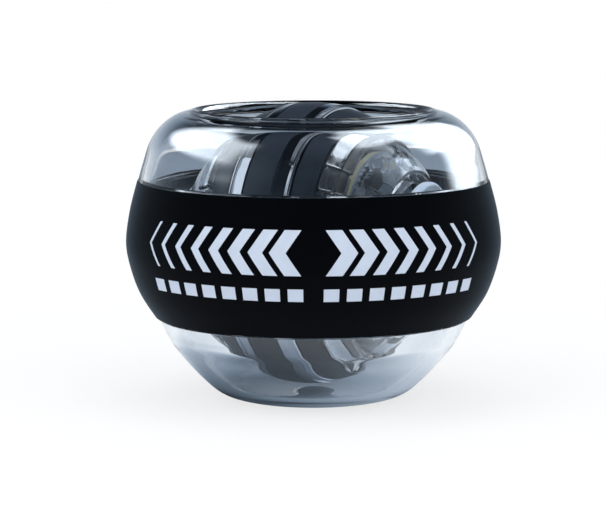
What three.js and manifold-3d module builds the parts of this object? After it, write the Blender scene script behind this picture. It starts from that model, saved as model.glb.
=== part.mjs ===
// A gyroscopic wrist ball: a flywheel rotor on an axle whose ends roll in a groove round the inside of a clear case.
// Millimetres, +Z up. The origin is the middle of the flat base that the ball stands on. The axle lies along X.
import * as THREE from 'three';
import { mergeVertices } from 'three/addons/utils/BufferGeometryUtils.js';
import Module from 'manifold-3d';

const wasm = await Module();
wasm.setup();

// Clearances
const seatGap = 0.3;              // between two fixed pieces that touch
const runningGap = 0.6;           // between the rotor and the carrier ring
const overrun = 1;                // how far every cutting tool passes the face it cuts

// Driving dimensions: what lies on the axle, from the middle of the rotor outward
const bandHalfWidth = 2.7;        // dark band round the middle
const flywheelWidth = 2.9;
const sideFaceWidth = 3.8;        // the core's side band
const boardStandoff = 2.1;
const boardThickness = 1.2;
const coilLength = 3.4;
const coilGap = 1.1;              // from the coil to the ring magnet
const magnetHubLength = 3.2;
const discThickness = 2;          // magnet holder's disc
const discSetback = 0.8;          // from the disc to the slot in its fork
const padDepth = 1.9;             // from a pad's face back to the carrier ring

// Places along the axle that follow from them
const flywheelStart = bandHalfWidth + seatGap;
const flywheelEnd = flywheelStart + flywheelWidth;
const sideFaceStart = flywheelEnd + seatGap;
const sideFaceEnd = sideFaceStart + sideFaceWidth;
const ringSeat = sideFaceEnd + seatGap;
const boardStart = ringSeat + boardStandoff;
const boardEnd = boardStart + boardThickness;
const onBoard = boardEnd + seatGap;
const hubEnd = onBoard + coilLength;
const magnetHubStart = hubEnd + coilGap;
const discStart = magnetHubStart + magnetHubLength;
const discEnd = discStart + discThickness;
const forkStart = discEnd + discSetback;
const padInner = forkStart + seatGap;

// Rotor, measured out from the axle
const axleRadius = 1.6;
const hubRadius = 5.2;
const flywheelDepth = 6.7;
const rimWall = 1.8;              // the core's rim inside the flywheel rings
const webThickness = 3.8;
const capWall = 1.3;
const capSetback = 1.1;           // from a cap's flat end to the magnet holder's disc
const capGap = 1.2;               // round the spring housing, where it enters the cap

// Carrier
const carrierThickness = 2;
const carrierWall = 3.7;          // ring material between its inner and outer edge
const slotWall = 0.7;             // ring material left outside the axle's slot
const padHalfWidth = 6;
const carrierInnerRadius = padInner + padDepth;
const carrierOuterRadius = carrierInnerRadius + carrierWall;
const rotorRadius = carrierInnerRadius - runningGap;

// Groove that the axle ends roll in
const tipRadius = 1.1;            // axle end that rolls in the groove
const tipShoulder = 0.5;          // from the fork back to where the axle steps down
const tipContact = 1.7;           // length of an axle end inside the groove
const tipReach = carrierOuterRadius - slotWall - seatGap;
const tipStart = forkStart - tipShoulder;
const raceDepth = 1;              // lip of a race ring outside the groove
const raceHeight = 3.2;           // one race ring, from the groove to its ledge
const ledgeReach = 2.8;           // how far the ledge reaches in behind a race ring
const ledgeThickness = 1.7;
const raceInnerRadius = tipReach - tipContact;
const raceLipRadius = carrierOuterRadius + seatGap;
const raceOuterRadius = raceLipRadius + raceDepth;
const ledgeInnerRadius = raceOuterRadius - ledgeReach;

// Case
const shellWall = 2.1;            // the bare domes
const sideWall = 1.5;             // under the grip band
const floorThickness = 2.4;
const floorGap = 0.8;             // under the rotor
const rotorRise = 1.2;            // how far the rotor stands out of the rim
const baseRadius = 13;            // flat that the ball stands on
const lipThickness = 1.3;         // wall at the rim
const rimRound = 0.61;            // from the top of the rim in to its edge
const bandThickness = 1.3;
const bandBelow = 13.6;           // grip band below the axle
const bandAbove = 11.6;
const halfWidth = raceOuterRadius + seatGap + sideWall + seatGap + bandThickness;
const axleHeight = floorThickness + floorGap + rotorRadius;
const rimHeight = axleHeight + rotorRadius - rotorRise;
const bandBottom = axleHeight - bandBelow;
const bandTop = axleHeight + bandAbove;

// How finely round pieces are turned
const caseSides = 36;
const rotorSides = 28;
const drumSides = 20;
const smallSides = 12;
const pinSides = 8;
const weldDistance = 1e-4;

const halfTurn = Math.PI;
const quarterTurn = Math.PI / 2;
const fullTurn = 2 * Math.PI;

// Joins the corners of a closed mesh, drops flat slivers and turns its faces outward
function weld(geometry) {
  const bare = new THREE.BufferGeometry();
  bare.setAttribute('position', geometry.getAttribute('position').clone());
  const count = bare.getAttribute('position').count;
  bare.setIndex(geometry.index ? geometry.index.clone() : [...Array(count).keys()]);
  const merged = mergeVertices(bare, weldDistance);
  const place = merged.getAttribute('position');
  const index = merged.index.array;
  const kept = [];
  let volume = 0;
  const [a, b, c] = [new THREE.Vector3(), new THREE.Vector3(), new THREE.Vector3()];
  for (let i = 0; i < index.length; i += 3) {
    const [i0, i1, i2] = [index[i], index[i + 1], index[i + 2]];
    if (i0 === i1 || i1 === i2 || i2 === i0) continue;
    kept.push(i0, i1, i2);
    a.fromBufferAttribute(place, i0);
    b.fromBufferAttribute(place, i1);
    c.fromBufferAttribute(place, i2);
    volume += a.dot(b.cross(c));
  }
  if (volume < 0) {
    for (let i = 0; i < kept.length; i += 3) [kept[i], kept[i + 1]] = [kept[i + 1], kept[i]];
  }
  merged.setIndex(kept);
  return merged;
}

function toManifold(geometry) {
  const closed = weld(geometry);
  return new wasm.Manifold(new wasm.Mesh({
    numProp: 3,
    vertProperties: new Float32Array(closed.getAttribute('position').array),
    triVerts: new Uint32Array(closed.index.array),
  }));
}

function fromManifold(solid) {
  const mesh = solid.getMesh();
  const geometry = new THREE.BufferGeometry();
  geometry.setAttribute('position', new THREE.BufferAttribute(mesh.vertProperties, 3));
  geometry.setIndex(new THREE.BufferAttribute(mesh.triVerts, 1));
  return geometry;
}

function join(geometries) {
  return fromManifold(geometries.map(toManifold).reduce((whole, next) => whole.add(next)));
}

function keep(body, tool) {
  return fromManifold(toManifold(body).intersect(toManifold(tool)));
}

function cut(body, tools) {
  return fromManifold(tools.map(toManifold).reduce((whole, next) => whole.subtract(next), toManifold(body)));
}

// Revolves a closed outline of [radius, distance along the axis] points; the axis becomes +Z
function turned(outline, sides) {
  const points = outline.map(([radius, along]) => new THREE.Vector2(radius, along));
  points.push(points[0].clone());
  return weld(new THREE.LatheGeometry(points, sides).rotateX(quarterTurn));
}

// The same, with its axis along +X, as everything on the axle has
function onAxle(outline, sides) {
  return turned(outline, sides).rotateY(quarterTurn);
}

function tubeOutline(inner, outer, start, end) {
  return [[inner, start], [outer, start], [outer, end], [inner, end]];
}

function rodOutline(radius, start, end) {
  return [[0, start], [radius, start], [radius, end], [0, end]];
}

// A block given by its two ends along each axis
function block([x0, x1], [y0, y1], [z0, z1]) {
  const geometry = new THREE.BoxGeometry(x1 - x0, y1 - y0, z1 - z0);
  return geometry.translate((x0 + x1) / 2, (y0 + y1) / 2, (z0 + z1) / 2);
}

// Swaps left and right of an outline on the axle
function mirrored(outline) {
  return outline.map(([radius, along]) => [radius, -along]);
}

// A smooth line through [radius, height] points
function smoothLine(points, steps) {
  const curve = new THREE.SplineCurve(points.map(([radius, height]) => new THREE.Vector2(radius, height)));
  return curve.getPoints(steps).map((point) => [point.x, point.y]);
}

// Moves a line sideways by a distance, to the left of its own direction
function offsetLine(line, distance) {
  return line.map(([radius, height], i) => {
    const [r0, h0] = line[Math.max(i - 1, 0)];
    const [r1, h1] = line[Math.min(i + 1, line.length - 1)];
    const length = Math.hypot(r1 - r0, h1 - h0);
    return [radius - distance * (h1 - h0) / length, height + distance * (r1 - r0) / length];
  });
}

// The part of a line between two heights, cut exactly at both
function lineBetween(line, low, high) {
  const radiusAt = (height) => {
    for (let i = 1; i < line.length; i += 1) {
      const [[r0, h0], [r1, h1]] = [line[i - 1], line[i]];
      if (height <= h1) return r0 + (r1 - r0) * (height - h0) / (h1 - h0);
    }
    return line[line.length - 1][0];
  };
  const inside = line.filter(([, height]) => height > low && height < high);
  return [[radiusAt(low), low], ...inside, [radiusAt(high), high]];
}

const wristBall = new THREE.Group();
const rotorFrame = new THREE.Group();
rotorFrame.position.z = axleHeight;
wristBall.add(rotorFrame);

// Adds one named piece to the case or to the axle's frame
function addPiece(frame, name, geometry, look) {
  const mesh = new THREE.Mesh(weld(geometry), new THREE.MeshStandardMaterial({ name, ...look }));
  mesh.name = name;
  frame.add(mesh);
}

const clearPlastic = { color: 0xeef1f3, roughness: 0.06, metalness: 0, transparent: true, opacity: 0.3 };
const blackSilicone = { color: 0x15171c, roughness: 0.6, metalness: 0 };
const blackPlastic = { color: 0x1b1c1f, roughness: 0.45, metalness: 0 };
const darkPlastic = { color: 0x4a4c50, roughness: 0.4, metalness: 0 };
const greyPlastic = { color: 0x8d9095, roughness: 0.45, metalness: 0 };
const platedMetal = { color: 0xc9ccd0, roughness: 0.12, metalness: 1 };
const steel = { color: 0xb4b7bb, roughness: 0.25, metalness: 1 };
const brass = { color: 0xc29a4b, roughness: 0.3, metalness: 1 };
const copper = { color: 0xb5683a, roughness: 0.35, metalness: 1 };
const magnetGrey = { color: 0x5c5f64, roughness: 0.35, metalness: 1 };
const boardGrey = { color: 0xc8cbbf, roughness: 0.5, metalness: 0 };
const lampWhite = { color: 0xf3f1e4, roughness: 0.3, metalness: 0 };
const chipBlack = { color: 0x202124, roughness: 0.5, metalness: 0 };

// Case outline, as shares of half the overall width and of the rim's height
const lowerDomeShares = [[0.371, 0], [0.495, 0.02], [0.6, 0.074], [0.729, 0.167], [0.783, 0.222], [0.829, 0.285]];
const upperDomeShares = [[0.933, 0.757], [0.907, 0.815], [0.869, 0.889], [0.809, 0.944], [0.729, 0.981], [0.626, 1]];
const gripShares = [[0.846, 0.285], [0.929, 0.37], [0.98, 0.463], [1, 0.546], [0.98, 0.648], [0.944, 0.741],
  [0.933, 0.76]];
const domeSteps = 5;
const gripSteps = 8;
const ofCase = ([radiusShare, heightShare]) => [radiusShare * halfWidth, heightShare * rimHeight];
const lowerDome = smoothLine(lowerDomeShares.map(ofCase), domeSteps);
const upperDome = smoothLine(upperDomeShares.map(ofCase), domeSteps);
const gripLine = smoothLine(gripShares.map(ofCase), gripSteps);
const gripSeat = offsetLine(gripLine, bandThickness + seatGap);
const sideInside = offsetLine(gripSeat, sideWall);
const rimTop = upperDome[upperDome.length - 1][0];
const openingRadius = rimTop - rimRound;
lowerDome[0][0] = baseRadius;

// Heights of the groove and of what holds its two rings
const grooveHalf = tipRadius + seatGap;
const raceFar = grooveHalf + raceHeight;
const ledgeNear = raceFar + seatGap;
const ledgeFar = ledgeNear + ledgeThickness;
const splitHalf = seatGap / 2;

// Lower shell: a bowl with a flat base, a shoulder under the grip band and a ledge under the race
const lowerInside = offsetLine(lowerDome, shellWall).filter(([, height]) => (
  height > floorThickness && height < bandBottom + shellWall));
const lowerShellOutline = [
  [0, 0],
  ...lowerDome.filter(([, height]) => height < bandBottom - seatGap),
  ...lineBetween(lowerDome, bandBottom - 2 * seatGap, bandBottom - seatGap).slice(1),
  ...lineBetween(gripSeat, bandBottom - seatGap, axleHeight - splitHalf),
  ...lineBetween(sideInside, axleHeight - ledgeNear, axleHeight - splitHalf).reverse(),
  [ledgeInnerRadius, axleHeight - ledgeNear],
  [ledgeInnerRadius, axleHeight - ledgeFar],
  ...lineBetween(sideInside, bandBottom + seatGap, axleHeight - ledgeFar).reverse(),
  ...lowerInside.reverse(),
  [0, floorThickness],
];
addPiece(wristBall, 'lower_shell', turned(lowerShellOutline, caseSides), clearPlastic);

// Upper shell: the same wall above the split, with the round opening
const rimInside = offsetLine(upperDome, shellWall).filter(([radius]) => radius > openingRadius + lipThickness);
const upperShellOutline = [
  ...lineBetween(gripSeat, axleHeight + splitHalf, bandTop + seatGap),
  ...lineBetween(upperDome, bandTop + seatGap, bandTop + 2 * seatGap).slice(0, 1),
  ...upperDome.filter(([, height]) => height > bandTop + seatGap),
  [openingRadius, rimHeight - lipThickness / 2],
  [openingRadius, rimHeight - lipThickness],
  ...rimInside.reverse().filter(([, height]) => height > bandTop),
  ...lineBetween(sideInside, axleHeight + ledgeFar, bandTop - seatGap).reverse(),
  [ledgeInnerRadius, axleHeight + ledgeFar],
  [ledgeInnerRadius, axleHeight + ledgeNear],
  ...lineBetween(sideInside, axleHeight + splitHalf, axleHeight + ledgeNear).reverse(),
];
addPiece(wristBall, 'upper_shell', turned(upperShellOutline, caseSides), clearPlastic);

// Grip band, stretched over both shells
const bandOutside = lineBetween(gripLine, bandBottom, bandTop);
const bandInside = lineBetween(offsetLine(gripLine, bandThickness), bandBottom, bandTop);
addPiece(wristBall, 'grip_band', turned([...bandOutside, ...bandInside.reverse()], caseSides), blackSilicone);

// Race rings: the upper one is the lower one turned over
const raceBevel = raceDepth;
const raceOutline = [
  [raceInnerRadius, -grooveHalf],
  [raceInnerRadius, -raceFar],
  [raceOuterRadius - raceBevel, -raceFar],
  [raceOuterRadius, -splitHalf - raceBevel],
  [raceOuterRadius, -splitHalf],
  [raceLipRadius, -splitHalf],
  [raceLipRadius, -grooveHalf],
];
addPiece(rotorFrame, 'race_ring_lower', turned(raceOutline, caseSides), blackPlastic);
addPiece(rotorFrame, 'race_ring_upper', turned(mirrored(raceOutline), caseSides), blackPlastic);

// Carrier ring: pads that reach inward at both ends of the axle, each with a slot for the axle
const slotHalf = axleRadius;
const slotEnd = tipReach + seatGap;
const padAngle = Math.asin(padHalfWidth / carrierInnerRadius);
const carrierShape = new THREE.Shape().absarc(0, 0, carrierOuterRadius, 0, fullTurn);
const carrierHole = new THREE.Path();
carrierHole.absarc(0, 0, carrierInnerRadius, padAngle, halfTurn - padAngle);
for (const [x, y] of [[padInner, padHalfWidth], [padInner, slotHalf], [slotEnd, slotHalf],
  [slotEnd, -slotHalf], [padInner, -slotHalf], [padInner, -padHalfWidth]]) carrierHole.lineTo(-x, y);
carrierHole.absarc(0, 0, carrierInnerRadius, halfTurn + padAngle, fullTurn - padAngle);
for (const [x, y] of [[padInner, -padHalfWidth], [padInner, -slotHalf], [slotEnd, -slotHalf],
  [slotEnd, slotHalf], [padInner, slotHalf], [padInner, padHalfWidth]]) carrierHole.lineTo(x, y);
carrierShape.holes.push(carrierHole);
const carrierRing = new THREE.ExtrudeGeometry(carrierShape,
  { depth: carrierThickness, bevelEnabled: false, curveSegments: caseSides / 2 });
addPiece(rotorFrame, 'carrier_ring', carrierRing.translate(0, 0, -carrierThickness / 2), steel);

// The fork that holds the magnet holder or the spring housing on a pad of the carrier ring
const forkLength = 1.8;
const forkEnd = forkStart + forkLength;
const forkHalfWidth = padHalfWidth;
const forkSlotHalf = carrierThickness / 2 + seatGap;
const bushRadius = 3.1;
const forkInset = 0.1;
const forkHalfHeight = bushRadius - forkInset;
const bushBore = axleRadius + seatGap;
const bushSeat = bushRadius + seatGap;
const discRadius = 12;
const forkBlock = (start) => block([start, forkEnd], [-forkHalfWidth, forkHalfWidth],
  [-forkHalfHeight, forkHalfHeight]);
const forkSlot = block([forkStart, forkEnd + overrun], [-forkHalfWidth - overrun, forkHalfWidth + overrun],
  [-forkSlotHalf, forkSlotHalf]);

// Magnet holder: a disc with a hub for the ring magnet and for the right bush
const magnetHubRadius = 4.6;
const discChamfer = 0.5;
const magnetHolderDisc = onAxle([
  [bushSeat, magnetHubStart],
  [magnetHubRadius, magnetHubStart],
  [magnetHubRadius, discStart],
  [discRadius - discChamfer, discStart],
  [discRadius, discStart + discChamfer],
  [discRadius, discEnd - discChamfer],
  [discRadius - discChamfer, discEnd],
  [bushBore, discEnd],
  [bushBore, discStart],
  [bushSeat, discStart],
], drumSides);
const axleWay = onAxle(rodOutline(bushBore, 0, forkEnd + overrun), smallSides);
const rightFork = forkBlock((discStart + discEnd) / 2);
addPiece(rotorFrame, 'magnet_holder', cut(join([magnetHolderDisc, rightFork]), [forkSlot, axleWay]), greyPlastic);

const magnetRim = 2.4;
const magnetOuterRadius = discRadius - magnetRim;
const magnetStart = magnetHubStart + seatGap;
const magnetOutline = tubeOutline(magnetHubRadius + seatGap, magnetOuterRadius, magnetStart, discStart - seatGap);
addPiece(rotorFrame, 'generator_magnet', onAxle(magnetOutline, drumSides), magnetGrey);

const bushRightOutline = tubeOutline(bushBore, bushRadius, magnetHubStart, discStart - seatGap);
addPiece(rotorFrame, 'axle_bush_right', onAxle(bushRightOutline, smallSides), brass);

// Spring housing: a drum on the left pad, open toward the rotor and closed by a cover
const drumRadius = 10.6;
const drumWall = 1;
const drumChamfer = 1;
const drumDepth = 6.9;
const drumStart = forkStart - drumDepth;
const drumBack = 1.6;
const coverThickness = 0.9;
const coverBore = 3.3;
const drumFloor = forkStart - drumBack;
const coverSeat = drumStart + coverThickness + seatGap;
const coverLedge = 0.6;
const drumBody = onAxle(mirrored([
  [bushSeat, forkStart],
  [drumRadius - drumChamfer, forkStart],
  [drumRadius, forkStart - drumChamfer],
  [drumRadius, drumStart],
  [drumRadius - drumWall, drumStart],
  [drumRadius - drumWall, coverSeat],
  [drumRadius - drumWall - coverLedge, coverSeat],
  [drumRadius - drumWall - coverLedge, drumFloor],
  [bushSeat, drumFloor],
]), drumSides);
const leftFork = forkBlock(forkStart - drumBack / 2).rotateZ(halfTurn);
const leftSlot = forkSlot.clone().rotateZ(halfTurn);
const bushHole = onAxle(mirrored(rodOutline(bushSeat, drumFloor - overrun, forkStart)), smallSides);
const leftAxleWay = axleWay.clone().rotateZ(halfTurn);
addPiece(rotorFrame, 'spring_housing', cut(join([drumBody, leftFork]), [leftSlot, bushHole, leftAxleWay]),
  greyPlastic);
const coverOutline = tubeOutline(coverBore, drumRadius - drumWall - seatGap, drumStart, drumStart + coverThickness);
addPiece(rotorFrame, 'spring_cover', onAxle(mirrored(coverOutline), drumSides), steel);
const bushLeftOutline = tubeOutline(bushBore, bushRadius, drumFloor, forkStart - seatGap);
addPiece(rotorFrame, 'axle_bush_left', onAxle(mirrored(bushLeftOutline), smallSides), brass);

// Start spring: a flat strip wound in a spiral from the drum's wall to the start sleeve
const sleeveRadius = 2.7;
const springTurns = 4;
const springStrip = 0.4;
const springStepsPerTurn = 12;
const springOuter = drumRadius - drumWall - coverLedge - seatGap - springStrip;
const springInner = sleeveRadius + seatGap + springStrip;
const springSteps = springTurns * springStepsPerTurn;
const springSide = (shift) => Array.from({ length: springSteps + 1 }, (_, i) => {
  const radius = springOuter + (springInner - springOuter) * i / springSteps + shift;
  const angle = fullTurn * i / springStepsPerTurn;
  return new THREE.Vector2(radius * Math.cos(angle), radius * Math.sin(angle));
});
const springShape = new THREE.Shape([...springSide(springStrip / 2), ...springSide(-springStrip / 2).reverse()]);
const springStart = coverSeat + seatGap;
const springWidth = drumFloor - seatGap - springStart;
const spring = new THREE.ExtrudeGeometry(springShape, { depth: springWidth, bevelEnabled: false });
spring.rotateY(quarterTurn).translate(-springStart - springWidth, 0, 0);
addPiece(rotorFrame, 'start_spring', spring, steel);

// Start sleeve: runs on the axle, turned by the spring, and drives the rotor through the clutch
const clutchSeatWall = 2.3;
const clutchStart = webThickness + clutchSeatWall + seatGap;
const clutchLength = 5;
const sleeveStart = clutchStart;
const sleeveEnd = drumFloor - seatGap;
const sleeveOutline = tubeOutline(axleRadius + seatGap, sleeveRadius, sleeveStart, sleeveEnd);
addPiece(rotorFrame, 'start_sleeve', onAxle(mirrored(sleeveOutline), smallSides), steel);

// Clutch: rollers in a cage, between the sleeve and a hardened cup in the left core
const rollerCount = 6;
const rollerRadius = 0.75;
const rollerMargin = 0.5;
const cageWall = 0.6;
const rollerPath = sleeveRadius + seatGap + rollerRadius;
const cupInner = rollerPath + rollerRadius + seatGap;
const cupWall = 1;
const cupOuter = cupInner + cupWall;
const clutchEnd = clutchStart + clutchLength;
const cupOutline = tubeOutline(cupInner, cupOuter, clutchStart, clutchEnd);
addPiece(rotorFrame, 'clutch_cup', onAxle(mirrored(cupOutline), drumSides), steel);
const pocketHalf = rollerRadius + seatGap;
const cage = onAxle(mirrored(tubeOutline(rollerPath - cageWall, rollerPath + cageWall, clutchStart, clutchEnd)),
  drumSides);
const pocketStart = clutchStart + rollerMargin + seatGap;
const pocketEnd = clutchEnd - rollerMargin - seatGap;
const pocket = block([-pocketEnd, -pocketStart], [-pocketHalf, pocketHalf], [0, cupOuter]);
const pockets = [];
for (let i = 0; i < rollerCount; i += 1) pockets.push(pocket.clone().rotateX(fullTurn * i / rollerCount));
addPiece(rotorFrame, 'clutch_cage', cut(cage, pockets), brass);
const rollerOutline = rodOutline(rollerRadius, pocketStart + seatGap, pocketEnd - seatGap);
for (let i = 0; i < rollerCount; i += 1) {
  const roller = onAxle(mirrored(rollerOutline), pinSides).translate(0, 0, rollerPath);
  addPiece(rotorFrame, `clutch_roller_${i + 1}`, roller.rotateX(fullTurn * i / rollerCount), steel);
}

// Axle: one steel bar, stepped down at both ends
const tipChamfer = 0.3;
const axleHalf = [
  [axleRadius, tipStart],
  [tipRadius, tipStart],
  [tipRadius, tipReach - tipChamfer],
  [tipRadius - tipChamfer, tipReach],
  [0, tipReach],
];
addPiece(rotorFrame, 'axle', onAxle([...mirrored(axleHalf).reverse(), ...axleHalf], smallSides), steel);

// Radius of the rotor's sphere at a distance along the axle
const sphereRadiusAt = (along, radius = rotorRadius) => Math.sqrt(radius ** 2 - along ** 2);
function sphereArc(start, end, radius, steps) {
  const [angle0, angle1] = [Math.asin(start / radius), Math.asin(end / radius)];
  return Array.from({ length: steps + 1 }, (_, i) => {
    const angle = angle0 + (angle1 - angle0) * i / steps;
    return [radius * Math.cos(angle), radius * Math.sin(angle)];
  });
}

// Core halves: a hub, a web and a rim that ends in the dark side band
const flywheelInner = rotorRadius - flywheelDepth;
const rimSeat = flywheelInner - seatGap;
const rimInner = rimSeat - rimWall;
const sideSteps = 2;
const coreRim = [
  [rimSeat, splitHalf],
  [rimSeat, sideFaceStart],
  ...sphereArc(sideFaceStart, sideFaceEnd, rotorRadius - seatGap, sideSteps),
  [rimInner, sideFaceEnd],
  [rimInner, webThickness],
];
const boardRadius = rimInner + seatGap;
const retainerInner = boardRadius + seatGap;
const postRadius = 1.9;
const postInset = 3.1;
const postPath = boardRadius - postInset;
const postCount = 3;
const screwRadius = 0.8;
const screwHeadRadius = 1.5;
const screwHead = 1;
const screwDepth = 4;
const rightCore = onAxle([
  [axleRadius + seatGap, splitHalf],
  ...coreRim,
  [hubRadius, webThickness],
  [hubRadius, hubEnd],
  [axleRadius + seatGap, hubEnd],
], rotorSides);
const clocking = 0.64;            // turn of the board, in radians
const postAngles = Array.from({ length: postCount }, (_, i) => fullTurn * i / postCount + clocking);
const around = (geometry, radius, angle) => geometry.clone().translate(0, 0, radius).rotateX(-angle);
const post = onAxle(rodOutline(postRadius, webThickness - overrun, boardStart - seatGap), pinSides);
const postHole = onAxle(rodOutline(screwRadius + seatGap, boardStart - screwDepth, boardEnd + overrun), pinSides);
const posts = postAngles.map((angle) => around(post, postPath, angle));
const postHoles = postAngles.map((angle) => around(postHole, postPath, angle));

// Core bolts pass through both webs, between the posts
const boltRadius = 1.2;
const boltHeadRadius = 2.3;
const boltGap = 1.6;
const boltHead = 1.6;
const boltTail = 0.6;
const clutchHubWall = 1.5;
const leftHubRadius = cupOuter + seatGap + clutchHubWall;
const boltPath = leftHubRadius + boltGap + boltHeadRadius;
const boltHole = onAxle(rodOutline(boltRadius + seatGap, -webThickness - overrun, webThickness + overrun), pinSides);
const boltAngles = postAngles.map((angle) => angle + halfTurn / postCount);
const boltHoles = boltAngles.map((angle) => around(boltHole, boltPath, angle));
addPiece(rotorFrame, 'rotor_core_right', cut(join([rightCore, ...posts]), [...postHoles, ...boltHoles]), darkPlastic);

const leftCore = onAxle(mirrored([
  [axleRadius + seatGap, splitHalf],
  ...coreRim,
  [leftHubRadius, webThickness],
  [leftHubRadius, clutchEnd],
  [cupOuter + seatGap, clutchEnd],
  [cupOuter + seatGap, clutchStart - seatGap],
  [axleRadius + seatGap, clutchStart - seatGap],
]), rotorSides);
addPiece(rotorFrame, 'rotor_core_left', cut(leftCore, boltHoles), darkPlastic);

const bolt = onAxle([
  [0, webThickness + seatGap + boltHead],
  [boltHeadRadius, webThickness + seatGap + boltHead],
  [boltHeadRadius, webThickness + seatGap],
  [boltRadius, webThickness + seatGap],
  [boltRadius, -webThickness - boltHead - boltTail],
  [0, -webThickness - boltHead - boltTail],
], pinSides);
const nutSides = 6;
const nut = onAxle(tubeOutline(boltRadius + seatGap, boltHeadRadius, -webThickness - seatGap - boltHead,
  -webThickness - seatGap), nutSides * 2);
boltAngles.forEach((angle, i) => {
  addPiece(rotorFrame, `core_bolt_${i + 1}`, around(bolt, boltPath, angle), steel);
  addPiece(rotorFrame, `core_nut_${i + 1}`, around(nut, boltPath, angle), steel);
});

// Centre band between the flywheel rings
addPiece(rotorFrame, 'rotor_centre_band', onAxle([
  [flywheelInner, -bandHalfWidth],
  ...sphereArc(-bandHalfWidth, bandHalfWidth, rotorRadius, sideSteps),
  [flywheelInner, bandHalfWidth],
], rotorSides), darkPlastic);

// Flywheel rings: heavy plated rings with a wide land, a groove and a narrow ridge
const landWidth = 1.6;
const grooveDepth = 0.6;
const grooveWidth = 0.7;
const grooveStart = flywheelStart + landWidth;
const landRadius = sphereRadiusAt(grooveStart);
const flywheelOutline = [
  [flywheelInner, flywheelStart],
  [sphereRadiusAt(flywheelStart), flywheelStart],
  [landRadius, grooveStart],
  [landRadius - grooveDepth, grooveStart],
  [landRadius - grooveDepth, grooveStart + grooveWidth],
  [sphereRadiusAt(grooveStart + grooveWidth), grooveStart + grooveWidth],
  [sphereRadiusAt(flywheelEnd), flywheelEnd],
  [flywheelInner, flywheelEnd],
];
addPiece(rotorFrame, 'flywheel_ring_right', onAxle(flywheelOutline, rotorSides), platedMetal);
addPiece(rotorFrame, 'flywheel_ring_left', onAxle(mirrored(flywheelOutline), rotorSides), platedMetal);

// What the clear caps share with the lamps
const lampHeight = 2;
const lampCount = 6;
const lampAngles = Array.from({ length: lampCount }, (_, i) => fullTurn * (i + 0.5) / lampCount + clocking);

// Clear caps: a foot, a thin dome and a flat end with a round opening. A ring along the foot reaches the rotor's
// sphere, and gaps part it into a short window and a rib in front of each lamp, and long windows between them.
const capSphere = rotorRadius - seatGap;
const ringRise = 0.9;
const capDome = capSphere - ringRise;
const capSteps = 4;
const capEnd = discStart - capSetback;
const capOpeningRadius = drumRadius + capGap;
const footHeight = 1.8;
const footWall = 1;
const footInner = sphereRadiusAt(ringSeat + footHeight, capDome) - footWall;
const capOutline = [
  [footInner, ringSeat],
  ...sphereArc(ringSeat, capEnd, capDome, capSteps),
  [capOpeningRadius, capEnd],
  [capOpeningRadius, capEnd - capWall],
  ...sphereArc(ringSeat + footHeight, capEnd - capWall, capDome - capWall, capSteps).reverse(),
  [footInner, ringSeat + footHeight],
];
const ringWidth = 4.2;
const ringEnd = ringSeat + ringWidth;
const inWall = capDome - capWall / 2;
const windowRing = onAxle([
  [sphereRadiusAt(ringSeat, inWall), ringSeat],
  ...sphereArc(ringSeat, ringEnd, capSphere, sideSteps),
  [sphereRadiusAt(ringEnd, inWall), ringEnd],
], rotorSides);
const windowLength = 4.9;         // short window, round the rotor
const windowGap = 0.9;
const gapAngle = (windowLength + windowGap) / 2 / capSphere;
const gapTool = block([ringSeat - overrun, ringEnd + overrun], [-windowGap / 2, windowGap / 2], [0, rotorRadius]);
const gapTools = lampAngles.flatMap((angle) => [around(gapTool, 0, angle - gapAngle),
  around(gapTool, 0, angle + gapAngle)]);
const ribDepth = 1.3;
const ribLength = 4.4;
const ribSphere = capDome - capWall - ribDepth;
const ribStart = onBoard + lampHeight + seatGap;
const ribEnd = sphereRadiusAt(capOpeningRadius, ribSphere);
const ribRing = onAxle([
  ...sphereArc(ribStart, ribEnd, inWall, sideSteps),
  ...sphereArc(ribStart, ribEnd, ribSphere, sideSteps).reverse(),
], rotorSides);
const ribSpan = block([ribStart - overrun, ribEnd + overrun], [-ribLength / 2, ribLength / 2], [0, rotorRadius]);
const ribs = lampAngles.map((angle) => keep(ribRing, around(ribSpan, 0, angle)));
const capRight = join([onAxle(capOutline, rotorSides), cut(windowRing, gapTools), ...ribs]);
addPiece(rotorFrame, 'cap_right', capRight, clearPlastic);
addPiece(rotorFrame, 'cap_left', capRight.clone().rotateZ(halfTurn), clearPlastic);

// Retaining rings inside the feet of the caps
const retainerOutline = tubeOutline(retainerInner, footInner - seatGap, ringSeat, ringSeat + footHeight - seatGap);
addPiece(rotorFrame, 'retaining_ring_right', onAxle(retainerOutline, rotorSides), blackPlastic);
addPiece(rotorFrame, 'retaining_ring_left', onAxle(mirrored(retainerOutline), rotorSides), blackPlastic);

// Light board with its generator coil
const board = onAxle(tubeOutline(hubRadius + seatGap, boardRadius, boardStart, boardEnd), rotorSides);
addPiece(rotorFrame, 'led_board', cut(board, postHoles), boardGrey);
const boardScrew = onAxle([
  [0, boardStart - screwDepth + seatGap],
  [screwRadius, boardStart - screwDepth + seatGap],
  [screwRadius, onBoard],
  [screwHeadRadius, onBoard],
  [screwHeadRadius, onBoard + screwHead],
  [0, onBoard + screwHead],
], pinSides);
postAngles.forEach((angle, i) => {
  addPiece(rotorFrame, `board_screw_${i + 1}`, around(boardScrew, postPath, angle), steel);
});

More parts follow.
